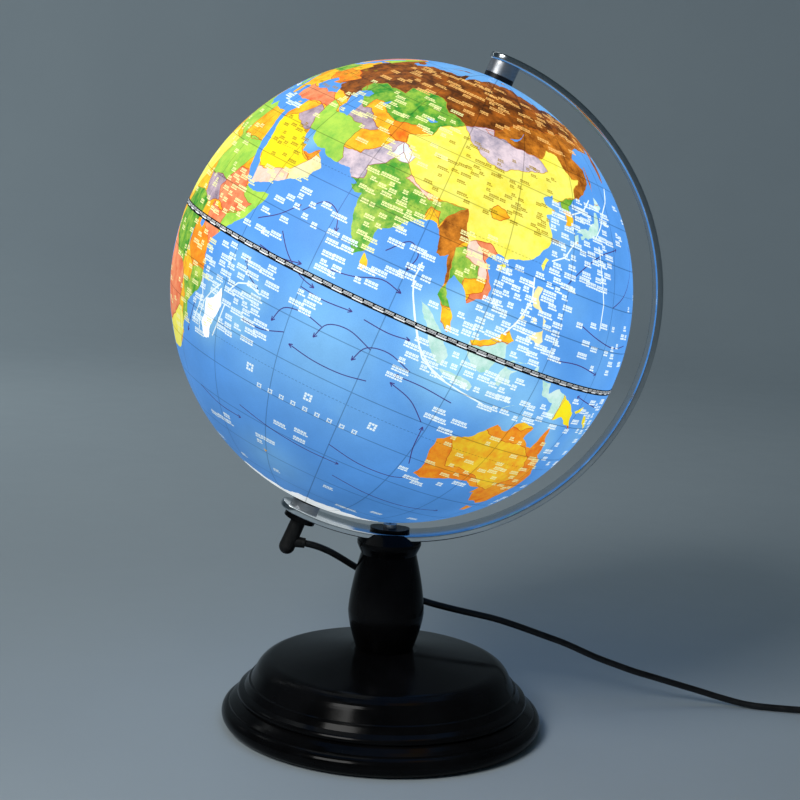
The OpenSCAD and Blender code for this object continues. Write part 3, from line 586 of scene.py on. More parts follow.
NORTH_AMERICA = [
    (-168, 65.6), (-162, 66.5), (-166.5, 68.3), (-156.5, 71.3), (-141, 69.7), (-128, 70.2), (-115, 68.5),
    (-105, 68.5), (-95, 68), (-94, 71.5), (-86, 69.5), (-81.5, 69), (-82, 67), (-87, 64.5), (-94, 61.5),
    (-94.6, 58.8), (-92, 57), (-85, 55.3), (-82, 53), (-79.5, 51.5), (-78.5, 54), (-77, 57), (-78, 60.5),
    (-77.5, 62.5), (-72, 61.5), (-69.5, 59), (-65, 60), (-62, 57), (-58, 54.5), (-56, 52), (-60, 50.2),
    (-66.5, 50.2), (-70, 47), (-65, 48.5), (-64.5, 46.3), (-60.5, 46.5), (-64.5, 43.6), (-67, 44.6),
    (-70.5, 43), (-70, 41.7), (-74, 40.5), (-76, 37), (-76, 35), (-80, 32.4), (-81.3, 30), (-80.2, 25.6),
    (-81.7, 25.9), (-82.8, 28.5), (-84.5, 30), (-89.5, 30.2), (-91, 29.2), (-95, 29.2), (-97.4, 26.5),
    (-97.7, 22.5), (-95.5, 18.6), (-91.5, 18.5), (-90.3, 21), (-87, 21.4), (-88, 18), (-88.8, 15.9),
    (-83.5, 15), (-83.7, 11.2), (-81, 8.9), (-79.5, 9.5), (-77.3, 8.6), (-80, 7.4), (-83, 8.2), (-86, 11),
    (-88, 13.1), (-94, 16), (-99.5, 16.6), (-105.5, 20.3), (-106, 23), (-109.4, 26), (-112.8, 30.5),
    (-114.7, 31.5), (-112, 28), (-109.5, 23.1), (-112, 25.5), (-115, 29.5), (-117.2, 32.8),
    (-120.6, 34.6), (-124, 39.5), (-124.3, 43), (-124, 47.5), (-128, 51), (-131, 55), (-136.5, 58.3),
    (-144, 60), (-151, 60.5), (-154, 58.5), (-162, 55.1), (-158, 58.6), (-162, 60), (-166, 61.8),
    (-161.5, 64.2),
]
SOUTH_AMERICA = [
    (-77.3, 8.6), (-75, 10.8), (-71.5, 12.3), (-68, 11), (-62, 10.6), (-57, 6), (-51.5, 4.3), (-50, 0.5),
    (-44.5, -2.7), (-39, -3.2), (-35.2, -5.5), (-35, -9), (-39, -13.5), (-39.2, -18), (-41, -22),
    (-45.5, -23.8), (-48.6, -26), (-50, -29.5), (-53.5, -33.7), (-58, -34.3), (-57, -37.8), (-62, -39),
    (-65, -42.5), (-66, -46.5), (-68.5, -50.5), (-68, -53), (-72, -53.5), (-75, -49), (-73.5, -42),
    (-73.3, -37), (-71.5, -30), (-70.4, -19), (-76, -14.2), (-81.3, -5.5), (-80, -2.5), (-80.2, 0.5),
    (-77.5, 3.5), (-77.8, 7),
]
AUSTRALIA = [
    (113.8, -22.5), (114.2, -26.3), (115.7, -31.7), (115, -34.3), (118, -35), (121.5, -33.8), (124, -33),
    (128.5, -31.9), (131.3, -31.5), (134.3, -32.9), (137.8, -32.8), (136.9, -35.2), (138.2, -34.8),
    (139.8, -36.9), (141.5, -38.4), (144.5, -38.2), (146.3, -39.1), (150, -37.5), (151.5, -33),
    (153.3, -28.5), (153, -25.3), (150.8, -23.3), (149, -20.5), (146.3, -19), (145.3, -15.5),
    (143.8, -14.3), (142.6, -10.9), (141.6, -13.5), (140.9, -17.5), (139.2, -17.4), (136, -15.5),
    (136.9, -12.2), (132.7, -11.4), (130.7, -12.6), (129.5, -14.9), (128, -15), (126, -14),
    (123.7, -16.5), (122.2, -18.2), (119.2, -20), (116.7, -20.6),
]
ANTARCTICA = [
    (-169, -78), (-150, -76), (-135, -74), (-110, -74), (-100, -72.5), (-75, -73), (-68, -67),
    (-58, -63.5), (-61, -68), (-62, -75), (-45, -78), (-28, -76), (-12, -71.5), (10, -70), (30, -68.6),
    (50, -65.6), (58, -67), (66, -67.6), (74, -69), (80, -66.8), (90, -65), (97, -65.4), (104, -64.6),
    (112, -65.6), (120, -65.2), (130, -66), (140, -65.8), (160, -70), (168, -74),
    (165, -78), (191, -78), (191, -87.5), (-169, -87.5),
]
ISLANDS = [
    [(-73, 78.3), (-60, 82), (-35, 83.5), (-20, 81.5), (-19, 76), (-22.5, 71), (-32, 68), (-40, 65),
     (-43.5, 60), (-49, 61.5), (-53.5, 67), (-54, 71), (-60, 76)],
    [(144.7, -40.8), (148.3, -40.9), (148, -43.2), (146, -43.6)],
    [(172.8, -34.5), (175.5, -36.6), (178.4, -37.7), (177, -39.5), (175.2, -41.6), (173.8, -39.3),
     (174.7, -37)],
    [(172.8, -40.6), (174.2, -41.7), (171.2, -44.2), (170.5, -46), (168.5, -46.6), (166.5, -45.8),
     (170.5, -42.8)],
    [(49.3, -12), (50.4, -15.7), (49.5, -18), (47.1, -25), (45, -25.5), (43.4, -22.5), (44.4, -19.8),
     (44.3, -16.3), (47, -15.2)],
    [(79.9, 9.7), (81.3, 8.5), (81.8, 7), (80.6, 6), (79.8, 7.5)],
    [(95.3, 5.6), (98, 4.4), (100.3, 2.5), (103.5, -0.5), (106, -3.2), (105.8, -5.8), (104.3, -5.7),
     (101.5, -3.2), (98.8, 1.3)],
    [(105.3, -6.7), (108, -6.4), (110.8, -6.4), (114.4, -7.7), (114.3, -8.6), (110, -8.1), (106.5, -7.4)],
    [(109.2, 1.8), (111.3, 2.5), (113.2, 3.4), (115.3, 5.4), (117, 7), (119.1, 5.2), (117.8, 3.5),
     (118.8, 1), (117.5, 0.3), (116.3, -3), (114.5, -4.1), (111.8, -3.4), (110.1, -1.6), (109.1, 0.3)],
    [(119.8, 0.5), (121, 1.2), (125, 1.5), (120.5, 0.4), (120.2, -1), (123.2, -0.8), (121.8, -1.9),
     (122.8, -4.4), (121.4, -4.3), (120.9, -2.7), (120.3, -5.5), (119.4, -5.4), (118.9, -2.8)],
    [(131, -0.8), (134, -0.8), (135, -3.3), (137.8, -1.5), (141, -2.6), (145, -4.3), (147.8, -6.2),
     (150.8, -10.4), (147.2, -9.5), (144, -7.8), (141, -9.1), (138, -8.2), (137.8, -5.2), (133, -4),
     (132.5, -2.6)],
    [(120.5, 18.4), (122.2, 18.4), (121.6, 16), (124, 13), (123, 13.4), (120.7, 13.9), (119.9, 16)],
    [(122, 7.3), (123.6, 8.6), (125.5, 9.7), (126.5, 7.3), (125.5, 5.8), (124, 6.8)],
    [(122, 11.8), (123.2, 11), (122, 10.5)], [(124.3, 12.4), (125.5, 11.8), (125, 10.3)],
    [(117.3, 8.5), (119.5, 10.7), (119.3, 11.3)], [(121, 25.2), (122, 25), (120.9, 22), (120.1, 23)],
    [(108.7, 19.3), (110.5, 20.1), (111, 19.6), (109.5, 18.2)],
    [(130.9, 34), (133, 35.5), (136, 35.7), (137.3, 37.4), (139.5, 38.3), (140.3, 41.2), (141.5, 41.3),
     (142, 39.5), (140.9, 36), (138.5, 34.6), (135.8, 33.5), (133, 34.3)],
    [(129.8, 33), (131.5, 33.7), (131.4, 31.4), (130.2, 31.2)],
    [(132.4, 33.5), (134.4, 34.3), (134.2, 33.3), (132.9, 32.8)],
    [(140.2, 42), (141.5, 43.3), (142, 45.4), (144.5, 43.9), (145.5, 43.3), (143.2, 42), (141, 42.4)],
    [(142, 46), (143.3, 49.2), (143.2, 54.2), (142.3, 53.5), (142, 50)],
    [(-5.5, 50.1), (1.3, 51.2), (1.6, 52.8), (-0.2, 54), (-2, 56), (-2, 57.7), (-4, 58.6), (-5.8, 57),
     (-3, 54.8), (-4.5, 53.2), (-5, 51.8)],
    [(-6, 52.2), (-6, 54.8), (-8, 55.2), (-10, 53.5), (-9.8, 51.6)],
    [(-24, 65.5), (-20, 66.2), (-14.6, 66.2), (-14, 64.7), (-19, 63.4), (-22.5, 63.9)],
    [(52, 71), (56, 73.5), (68, 76.8), (60, 76), (54, 73)], [(11, 79), (20, 80.3), (26, 80), (18, 77)],
    [(95, 79), (100, 81), (104, 79)],
    [(-62, 66), (-68, 69.8), (-78, 72.6), (-89, 73), (-82, 70.3), (-72, 67), (-77, 64.5), (-70, 62.8),
     (-65, 63)],
    [(-117, 69.5), (-117, 73), (-105, 72.8), (-102, 69)],
    [(-90, 76.5), (-78, 76.3), (-62, 82.5), (-75, 83), (-92, 81.5)],
    [(-59, 47.7), (-55.5, 51.5), (-53, 47)], [(-84.8, 21.9), (-80, 23), (-74.3, 20.2), (-77.5, 20)],
    [(-74.3, 18.5), (-73, 19.8), (-68.4, 18.7), (-71, 17.8)], [(164.2, -20.3), (167, -22.3), (165.8, -21.9)],
    [(155.5, -6.2), (161, -9.5), (160.5, -10), (154.9, -6.4)],
    [(148.5, -5.8), (151.8, -4.2), (152.2, -5), (149.8, -6.3)],
    [(123.6, -10.3), (127.2, -8.4), (125.3, -9.3)], [(127.5, 1), (128.3, 2), (128.6, 0.3), (127.8, -0.6)],
    [(53.4, 12.6), (54.4, 12.5), (54, 12.3)], [(32.4, 34.9), (34.2, 35.5), (33.8, 34.9)],
    [(12.5, 38), (15.5, 38.2), (15.1, 36.7)], [(8.2, 41), (9.7, 41), (9.5, 39.1), (8.4, 39)],
    [(68.7, -48.6), (70.4, -49), (69.5, -49.7)], [(55.2, -20.9), (55.8, -21), (55.5, -21.4)],
]
COASTS = [AFRICA, EURASIA, NORTH_AMERICA, SOUTH_AMERICA, AUSTRALIA, ANTARCTICA, *ISLANDS]
INLAND_WATERS = [
    [(47.5, 45.5), (51, 47), (53, 46.5), (53, 45), (51, 44.5), (53.8, 42), (54, 37), (50.5, 37.2),
     (49, 38.5), (49.3, 40.5), (47.5, 43)],
    [(28, 42), (28.8, 44.5), (31, 46.6), (33.5, 46), (33, 44.6), (36, 45), (38.5, 47), (37.5, 45.3),
     (41.5, 42), (38, 41), (35, 42), (31, 41.2)],
    [(59, 45), (61, 46.5), (60.5, 44)], [(103.7, 51.5), (107, 52.5), (110, 55.6), (109, 54), (106, 51.4)],
    [(32, 0), (34, 0), (33.5, -2.5), (32, -2)], [(29.4, -3.5), (30.6, -8.7), (30.1, -8.8), (29, -4)],
    [(-92, 47), (-85, 48.5), (-84, 46.5), (-88, 46.5)], [(-88, 42), (-87.5, 45), (-85, 45.7), (-86.3, 42)],
    [(-84, 46), (-80.5, 45), (-82, 43.2)], [(-83, 42), (-79, 43), (-79, 42.6), (-81.5, 41.5)],
    [(74, 46.2), (79, 46.6), (77, 45.4)],
]

# ------------------------------------------------------------------ map: colours and countries

YELLOW = (srgb(255, 252, 116), srgb(255, 240, 62))
PURE_YELLOW = (srgb(255, 240, 30), srgb(255, 224, 22))
AMBER = (srgb(255, 214, 44), srgb(250, 140, 22))
ORANGE = (srgb(255, 170, 36), srgb(234, 92, 14))
BROWN = (srgb(84, 42, 2), srgb(196, 108, 24))
RUST = (srgb(134, 72, 10), srgb(244, 152, 44))
GREEN = (srgb(54, 150, 46), srgb(186, 224, 74))
LEAF = (srgb(78, 164, 52), srgb(214, 232, 92))
LIME = (srgb(186, 228, 84), srgb(120, 196, 74))
PINK = (srgb(250, 160, 110), srgb(224, 84, 44))
BLUSH = (srgb(250, 224, 208), srgb(246, 190, 150))
LILAC = (srgb(206, 184, 196), srgb(112, 96, 118))
SMOKE = (srgb(238, 218, 226), srgb(140, 136, 160))
CREAM = (srgb(252, 244, 190), srgb(250, 224, 120))
PALE_SEA = (srgb(214, 244, 238), srgb(150, 214, 196))
# White pushed past the print's own brightness as painted lamp glare: used for the southern ice near the lamp,
# and for Madagascar, painted white as a blown-out glare
WHITE_WITH_GLARE = (srgb(250, 254, 255, 1.5), srgb(232, 246, 252, 1.35))
SNOW = (srgb(250, 253, 255), srgb(206, 226, 240))

# Rough outlines, which show only on land; each is drawn over those before it
COUNTRIES = [
    (BROWN, [(28, 78), (60, 80), (110, 80), (190, 74), (190, 58), (158, 49), (145, 44), (131, 42),
             (131, 45), (135, 48.4), (131, 47.8), (127.5, 50), (125.5, 53), (120, 53.3), (117, 49.6),
             (111, 49.4), (108, 49.6), (102, 50.5), (98, 50), (97.5, 52), (91, 50.5), (87.5, 49.2),
             (83, 51), (80, 51), (76.5, 54.2), (70, 55.2), (61, 54), (61.5, 51), (55, 50.8), (51, 51.7),
             (47, 50), (47, 48), (49.5, 46), (47.5, 43), (48, 41.5), (44, 42.7), (39.5, 43.4), (36, 45.5),
             (38, 47.4), (40, 49.6), (35, 51.5), (31, 52.3), (31, 55.8), (28, 56.5), (27.5, 59), (30, 62),
             (29, 66), (28.5, 69)]),
    (RUST, [(94, 51), (104, 56), (118, 60), (132, 62), (150, 62), (162, 68), (190, 70), (190, 58),
            (158, 49), (145, 44), (131, 42), (131, 45), (135, 48.4), (131, 47.8), (127.5, 50),
            (125.5, 53), (120, 53.3), (117, 49.6), (111, 49.4), (108, 49.6), (102, 50.5), (98, 50)]),
    (GREEN, [(47, 50), (51, 51.7), (55, 50.8), (61.5, 51), (61, 54), (70, 55.2), (76.5, 54.2), (80, 51),
             (83, 51), (87.5, 49.2), (83, 47), (80.3, 45), (80.2, 42.3), (75, 43), (70.8, 42.3),
             (67.5, 41.5), (62, 43.5), (58.6, 45.5), (56, 45.2), (56, 41.3), (54, 42), (51, 44.5),
             (47, 46.5), (46.8, 48.3)]),
    (AMBER, [(56, 45.2), (58.6, 45.5), (62, 43.5), (67.5, 41.5), (68, 38), (66, 37.4), (62, 39),
             (58, 42), (56, 41.3)]),
    (LILAC, [(56, 41.3), (58, 42), (62, 39), (66, 37.4), (61.2, 35.4), (60, 37), (54, 37.4), (53, 40),
             (54, 42)]),
    (ORANGE, [(67.5, 41.5), (70.8, 42.3), (75, 43), (80.2, 42.3), (74, 39.6), (74.8, 37.3), (71.5, 36.7),
              (68, 37.2), (68, 38.5)]),
    (SMOKE, [(87.5, 49.2), (91, 50.5), (97.5, 52), (98, 50), (102, 50.5), (108, 49.6), (111, 49.4),
             (116, 49.5), (119.7, 46.7), (111, 43.7), (105, 41.7), (96, 42.7), (91, 45.5)]),
    (YELLOW, [(73.8, 39.5), (80.2, 42.3), (80.3, 45), (83, 47), (87.5, 49.2), (91, 45.5), (96, 42.7),
              (105, 41.7), (111, 43.7), (119.7, 46.7), (116, 49.5), (117, 49.6), (120, 53.3), (125.5, 53),
              (127.5, 50), (131, 47.8), (135, 48.4), (131, 45), (131, 42.5), (127, 41.6), (124, 40),
              (121, 38), (124, 34), (123, 29), (122.6, 25), (121.5, 21.5), (118, 22.3), (112, 20),
              (112, 17.5), (108.5, 17.9), (108, 21.5), (105.5, 23.1), (102, 22.4), (100.5, 21.5),
              (98.8, 24), (97.5, 28.3), (92, 27.8), (88.8, 27.8), (86, 28), (81, 30.2), (78.8, 32.5),
              (78, 35.5), (75, 37)]),
    (AMBER, [(103, 30.5), (104.5, 32.2), (107, 31.8), (108.6, 30.6), (106.5, 29), (104, 28.8)]),
    (LEAF, [(68, 23.6), (71, 24.6), (70, 27.8), (73.5, 30), (75, 32.5), (76, 34.5), (78.8, 32.5),
            (81, 30.2), (80.2, 28.8), (88, 26.4), (89.8, 26.8), (92, 27.8), (97.2, 28), (95, 26),
            (93.3, 24), (92.5, 22), (91.5, 23.5), (89, 25.2), (88.8, 22), (88.5, 20), (82, 15), (81, 11),
            (79.4, 9.6), (77.5, 6), (72, 12), (71, 20), (67, 22)]),
    (BLUSH, [(80.2, 28.8), (81, 30.2), (86, 28), (88.2, 27.9), (88, 26.4)]),
    (AMBER, [(88.8, 21), (89, 25.2), (91.5, 25), (92.5, 22), (91, 21)]),
    (SMOKE, [(61.6, 24), (66.5, 24), (68, 23.6), (71, 24.6), (70, 27.8), (73.5, 30), (75, 32.5),
             (76, 34.5), (74.5, 37), (71.5, 36.3), (70, 33.5), (66.5, 31), (66.3, 29.8), (61, 29.4),
             (63, 27)]),
    (SNOW, [(73.5, 33), (75.5, 32.3), (78.8, 32.5), (79.5, 34.5), (77, 36), (74.5, 37), (73.5, 35)]),
    (AMBER, [(61.2, 35.4), (66, 37.4), (71.5, 36.7), (74.8, 37.3), (71.5, 36.3), (70, 33.5), (66.5, 31),
             (66.3, 29.8), (61, 29.4), (60.8, 32)]),
    (LIME, [(44.5, 39.7), (48.5, 39.5), (49.5, 37), (54, 37.4), (60, 37), (61.2, 35.4), (60.8, 32),
            (61, 29.4), (63, 27), (61.6, 24), (56.5, 25.5), (54, 25.8), (50.5, 28), (48, 29.8),
            (45.8, 33), (45.3, 36), (44.8, 38)]),
    (LILAC, [(42.4, 37.1), (45.3, 36), (45.8, 33), (48, 29.8), (46.5, 29.1), (39, 32.2), (41, 34.5)]),
    (PURE_YELLOW, [(34.6, 29.5), (39, 32.2), (46.5, 29.1), (48.5, 28.4), (50.2, 26), (51, 24.5),
                   (55.2, 22.7), (52, 19), (47, 17), (43.2, 16.6), (41, 17.5), (36, 24), (34, 28)]),
    (BLUSH, [(42.5, 16.5), (47, 17), (52, 19), (53.3, 16.5), (50, 13), (44, 12), (42.5, 13)]),
    (CREAM, [(52, 19), (55.2, 22.7), (56, 24.8), (60, 24), (61, 20), (54, 15.5), (53, 16.5)]),
    (ORANGE, [(51.5, 24.4), (55.2, 22.7), (56, 24.8), (56.5, 26.5), (54, 25)]),
    (AMBER, [(34.3, 29.3), (39, 32.2), (41, 34.5), (42.4, 37.1), (36, 36.8), (35, 33)]),
    (PINK, [(26, 42), (28, 41.3), (32, 42.2), (41.5, 41.5), (44.5, 39.7), (44.8, 37.2), (42.4, 37.1),
            (36, 36.5), (30, 35.8), (26, 36.5)]),
    (AMBER, [(39.5, 43.4), (44, 42.7), (48, 41.5), (50, 40), (48.5, 38.6), (44.5, 39.7), (41.5, 41.5)]),
    (ORANGE, [(22.5, 48), (24, 51.7), (31, 52.3), (35, 51.5), (40, 49.6), (38, 47.4), (36, 44.4),
              (32.5, 44.4), (29, 45.3)]),
    (YELLOW, [(-5, 43), (3, 42.4), (7.5, 43.7), (8, 49), (2.5, 51.2), (-5, 49)]),
    (LEAF, [(6, 54.5), (24, 54.5), (24, 49), (18, 49), (6, 47.5)]),
    (PINK, [(4, 58), (12, 58), (20, 55), (23, 66), (31, 71), (15, 70), (6, 63)]),
    (LIME, [(20, 59.7), (31, 60.5), (30, 70), (23, 67)]),
    (LIME, [(7, 44), (13, 46.6), (19, 40), (15, 36), (9, 43)]),
    (RUST, [(92.3, 21), (93.3, 24), (95, 26), (97.5, 28.3), (98.8, 24), (100.5, 21.5), (98, 19),
            (98.5, 15.5), (99.5, 11.5), (97.5, 9.5), (93, 15)]),
    (LEAF, [(98, 19), (100.5, 20.2), (101, 18), (104.8, 17.3), (105.5, 14.5), (102.5, 13.6),
            (102.8, 11.8), (100, 11), (102.3, 6), (100.3, 6), (97.5, 8.5), (99.5, 11.5), (98.5, 15.5)]),
    (BLUSH, [(100.5, 21.5), (102, 22.4), (104.5, 20.5), (107.5, 15.2), (105.5, 14.5), (104.8, 17.3),
             (101, 18), (100.5, 20.2)]),
    (PINK, [(102, 22.4), (105.5, 23.1), (108, 21.5), (109, 19), (110.5, 13), (108, 9.5), (104, 8),
            (105, 10.8), (107.5, 12.3), (107.5, 15.2), (104.5, 20.5)]),
    (AMBER, [(102.5, 13.6), (105.5, 14.5), (107.5, 14.5), (107.5, 12.3), (105, 10.8), (103, 10)]),
    (PALE_SEA, [(94, 7), (99, 5), (104, 1), (109, 2.5), (118, 4.2), (126, 4), (141, 1), (141, -9.5),
                (128, -11.5), (104, -9), (94, 2)]),
    (AMBER, [(99.5, 6.5), (102.3, 6.5), (105, 2), (104, 0.8), (100, 4)]),
    (AMBER, [(109, 2.2), (110, 0.9), (112, 1.3), (115, 3), (115.8, 4.3), (119.5, 4.2), (119, 7.5),
             (113, 5)]),
    (PURE_YELLOW, [(141, 0), (141, -10), (152, -12), (162, -11), (156, -5), (150, -1)]),
    (CREAM, [(116.5, 7.5), (120, 4.5), (127, 5), (127, 14), (123, 19), (119, 19)]),
    (GREEN, [(124, 40), (127, 41.6), (130.6, 42.5), (129.5, 40), (128.5, 38.5), (125, 37.8)]),
    (AMBER, [(125, 37.8), (128.5, 38.5), (130.5, 36), (129, 34), (125.5, 34)]),
    (PALE_SEA, [(129, 31), (142, 33), (146.5, 43), (142, 45.7), (139, 42), (136, 38), (130, 35)]),
    (ORANGE, [(112, -10), (155, -10), (155, -45), (112, -45)]),
    (AMBER, [(117, -20), (124, -16), (136, -17), (143, -20), (147, -27), (141, -33), (131, -29), (121, -29)]),
    (LIME, [(165, -33), (179, -33), (179, -48), (165, -48)]),
    (AMBER, [(25, 31.7), (34.5, 31.3), (36, 24), (36.5, 22), (25, 22)]),
    (LIME, [(10, 33), (25, 33), (25, 20), (15, 23), (10, 26)]),
    (LIME, [(24, 22), (37, 22), (38.6, 18), (36.4, 14.2), (35, 12), (34, 9.8), (24, 9.8), (22, 13)]),
    (LILAC, [(24, 9.8), (34, 9.8), (35.5, 5), (30.8, 3.6), (27, 5)]),
    (PINK, [(36.4, 14.2), (40, 14.7), (42.3, 12.5), (43, 11), (44, 9), (48, 8), (45, 5), (39.5, 3.5),
            (35.8, 5), (33, 8), (35, 12)]),
    (AMBER, [(36.4, 14.2), (38.6, 18), (43, 12.5), (40, 14.7)]),
    (LIME, [(43, 11), (51.5, 12.2), (51.5, 8), (42, -2.5), (41, 0), (41.5, 3.8), (45, 5), (48, 8),
            (44, 9)]),
    (PINK, [(34, 4.5), (39.5, 3.5), (41.5, 3.8), (41, 0), (42, -2.5), (39.5, -5.2), (34, -1)]),
    (ORANGE, [(30, -1), (34, -1), (39.5, -5.2), (41, -10.6), (35, -11.5), (32, -9), (29.5, -6)]),
    (LEAF, [(35, -11.5), (41, -10.6), (41, -16), (35.5, -26.9), (32, -26.9), (33, -19), (30.5, -15),
            (35, -15)]),
    # Madagascar, painted in glaring white: a painted blown-out highlight in place of its print colour
    (WHITE_WITH_GLARE, [(43, -11), (51, -11), (51, -26), (43, -26)]),
    (YELLOW, [(16, -28.5), (20, -28), (25, -25.5), (29.5, -22.3), (31.3, -22.4), (33.5, -27), (28, -35),
              (17, -35.5)]),
    (ORANGE, [(-3, 35.5), (8, 37.5), (10, 26), (3, 19.5), (-8, 27.5)]),
    (YELLOW, [(3, 13), (15, 23), (24, 20), (22, 13), (14, 2), (3, 6)]),
    (GREEN, [(13, -5), (18, 4.5), (27, 5), (30.8, 3.6), (29.5, -6), (28.5, -12.5), (22, -11), (17, -8)]),
    (PINK, [(11, -17), (12, -5), (17, -8), (22, -11), (28.5, -12.5), (30.5, -15), (29.5, -22.3),
            (20, -28), (15, -28.5)]),
    (PINK, [(-141, 60), (-130, 55), (-123, 49), (-95, 49), (-82, 42), (-75, 45), (-67, 47.5), (-60, 43),
            (-50, 47), (-60, 62), (-60, 84), (-141, 75)]),
    (GREEN, [(-126, 49), (-95, 49), (-82, 42), (-75, 45), (-67, 47.5), (-65, 43), (-80, 24), (-97, 25.5),
             (-106, 31.5), (-114.7, 32.3), (-120, 30), (-127, 45)]),
    (LIME, [(-168.9, 72), (-141, 72), (-141, 60), (-130, 54.5), (-168.9, 50)]),
    (ORANGE, [(-118, 33), (-106, 31.5), (-97, 25.5), (-86, 22), (-90, 14), (-118, 14)]),
    (LEAF, [(-74, -7), (-70, 1), (-60, 5), (-50, 5), (-33, -5), (-40, -24), (-49, -30), (-57.5, -30),
            (-54, -25), (-58, -20), (-60, -14), (-65, -10.5)]),
    (YELLOW, [(-68.5, -22), (-58, -24), (-54, -26), (-58, -34), (-50, -40), (-66, -56), (-72, -50),
              (-70, -35)]),
    (PINK, [(-79, 9), (-58, 9), (-60, 3), (-70, 1), (-74, -3), (-80, 1)]),
    (SNOW, [(-75, 78), (-55, 84), (-10, 84), (-15, 70), (-43, 58), (-58, 68)]),
    # The southern ice: its white is real, and its extra brightness is painted glare from the lamp near the
    # south pole
    (WHITE_WITH_GLARE, [(-169, -60), (191, -60), (191, -87.5), (-169, -87.5)]),
]
LAND_WITHOUT_COUNTRY = AMBER
BORDER = srgb(255, 90, 30)

OCEAN = srgb(88, 158, 238)
SHALLOW = srgb(160, 224, 252)
# Lighter water: longitude, latitude, reach in degrees, strength
SHOALS = [
    (80, -12, 16, 0.42), (66, -22, 10, 0.25), (92, -22, 12, 0.2), (108, -3, 11, 0.9),
    (118, -3, 10, 0.8), (112, 4, 8, 0.6), (128, -6, 8, 0.5), (100, 2, 7, 0.8),
    (104, 8, 5, 0.6), (90, -4, 3.5, 0.3), (90, -11, 3.5, 0.35), (89.5, -18, 3, 0.35), (88.5, -25, 3, 0.3),
    (59, -10, 5, 0.6), (57, -17, 5, 0.6), (46, -20, 6, 0.7), (47, -14, 5, 0.6), (53, -5, 5, 0.4),
    (72, 1, 4, 0.35), (72, -6, 3, 0.35), (122, 35, 5, 0.4), (126, 30, 5, 0.3), (72, -51, 8, 0.3),
    (130, -12, 8, 0.5), (141, -11, 6, 0.5), (145, -16, 5, 0.5), (52, 27, 3, 0.5), (2, 55, 9, 0.4),
    (-60, 45, 8, 0.4), (-80, 24, 7, 0.4), (-60, -48, 9, 0.4), (-170, 62, 9, 0.4), (180, 62, 9, 0.4),
    (134, 16, 5, 0.15), (150, 8, 9, 0.15), (160, -12, 8, 0.3), (60, 74, 12, 0.3), (150, 75, 14, 0.3),
]

# Where groups of small place marks stand: west, east, south, north, how many
SEA_MARKS = [
    (58, 72, 9, 19, 8), (70, 75, -1, 11, 16), (82, 92, 8, 18, 8), (78, 83, 3, 7, 4), (92, 94, 6, 14, 5),
    (96, 126, -9, 6, 90), (107, 119, 7, 20, 34), (119, 130, 4, 21, 40), (121, 146, 22, 43, 62),
    (133, 165, 4, 16, 18), (145, 166, -12, 0, 18), (147, 170, -24, -12, 10), (118, 142, -12, -7, 14),
    (107, 115, -24, -16, 6), (109, 130, -38, -33, 5), (44, 62, -22, -2, 56), (38, 45, -26, -6, 22),
    (46, 58, 2, 13, 8), (68, 74, -9, -4, 8), (93, 97, -13, -11, 2), (64, 74, -48, -45, 3),
    (72, 80, -40, -36, 3), (36, 54, -48, -43, 4), (50, 53, 39, 45, 3), (20, 34, 33, 36, 5),
    (-45, -8, -45, 60, 80), (-160, -90, -50, 50, 100), (-86, -60, 12, 24, 16), (145, 178, -50, -28, 9),
    (150, 178, 20, 50, 8), (30, 150, -62, -52, 8), (0, 14, 38, 43, 3), (-10, 8, 46, 60, 8),
]
LAND_MARKS = [(84, 122, 29, 46, 70), (36, 50, 20, 32, 20), (2, 38, 42, 58, 26)]
PALE_MARKS = [
    (70, 90, 9, 28, 34), (44, 84, 32, 53, 46), (96, 108, 9, 24, 14), (26, 46, -26, 14, 60),
    (-8, 30, -30, 30, 60), (115, 150, -34, -16, 34), (-70, -42, -30, 4, 26), (-120, -75, 30, 60, 50),
    (44, 56, 12, 19, 8),
]
NORTH_MARKS = [(40, 165, 53, 71, 80)]
SEA_MARK = srgb(236, 252, 255, 1.1)
LAND_MARK = srgb(168, 136, 26)
PALE_MARK = srgb(255, 255, 178)
NORTH_MARK = srgb(255, 196, 110)
SEA_MARK_SIZE = 1.0
LAND_MARK_SIZE = 0.62
PALE_MARK_SIZE = 0.8
NORTH_MARK_SIZE = 0.9
# Parts of a place mark, in shares of its size: the row of blocks, each of four dots
BLOCK_STEP = 0.78
BLOCK_RISE = 0.56
BLOCK_DOTS = ((0, 0), (0.35, 0), (0, 0.35), (0.35, 0.35))
DOT_W = 0.3
DOT_H = 0.31
# and the row of dashes below
DASH_H = 0.36
DASH_GAP = 0.12
# Larger marks that spread over an ocean: first place, last place, how many, size
WIDE_MARKS = [((62, -27), (97, -27), 3, 1.9), ((66, -30), (94, -30), 9, 1.2)]
# The ring of dots that one larger mark is, in shares of its size
RING = ((0, 0), (0.36, 0), (0.72, 0), (0, 0.36), (0.72, 0.36), (0, 0.72), (0.36, 0.72), (0.72, 0.72))
RING_DOT = 0.28

# White lines along island chains and round reefs
CHAINS = [
    [(92.5, 13), (92.2, 9), (93.4, 6), (95.5, 2), (98, -2), (101, -6), (106, -8.6), (113, -9.8),
     (119, -10.6)],
    [(94.5, 4), (96.5, 0.5), (99.5, -4), (103.5, -7.2), (108, -8.8)],
    [(51.5, -12), (54, -9), (57, -8), (61, -9)],
    [(42.5, -24.5), (42.4, -21), (43.6, -17), (46, -14), (48.6, -11.4)],
    [(51.6, -15), (50.6, -19), (48.6, -24)],
    [(41, -12), (42.5, -16), (41, -20), (39.5, -23)], [(119, 20), (120, 15), (118, 9), (116, 6)],
    [(123, 25), (127, 27), (129.5, 30.5), (131, 32)], [(141, 33), (142.4, 27), (144.8, 20), (145.2, 14)],
    [(139.6, 34.6), (143, 38), (146, 42), (151, 45.5), (156.5, 50)], [(129, 38), (134, 40), (138.6, 44)],
]

CURRENT = srgb(70, 62, 132)
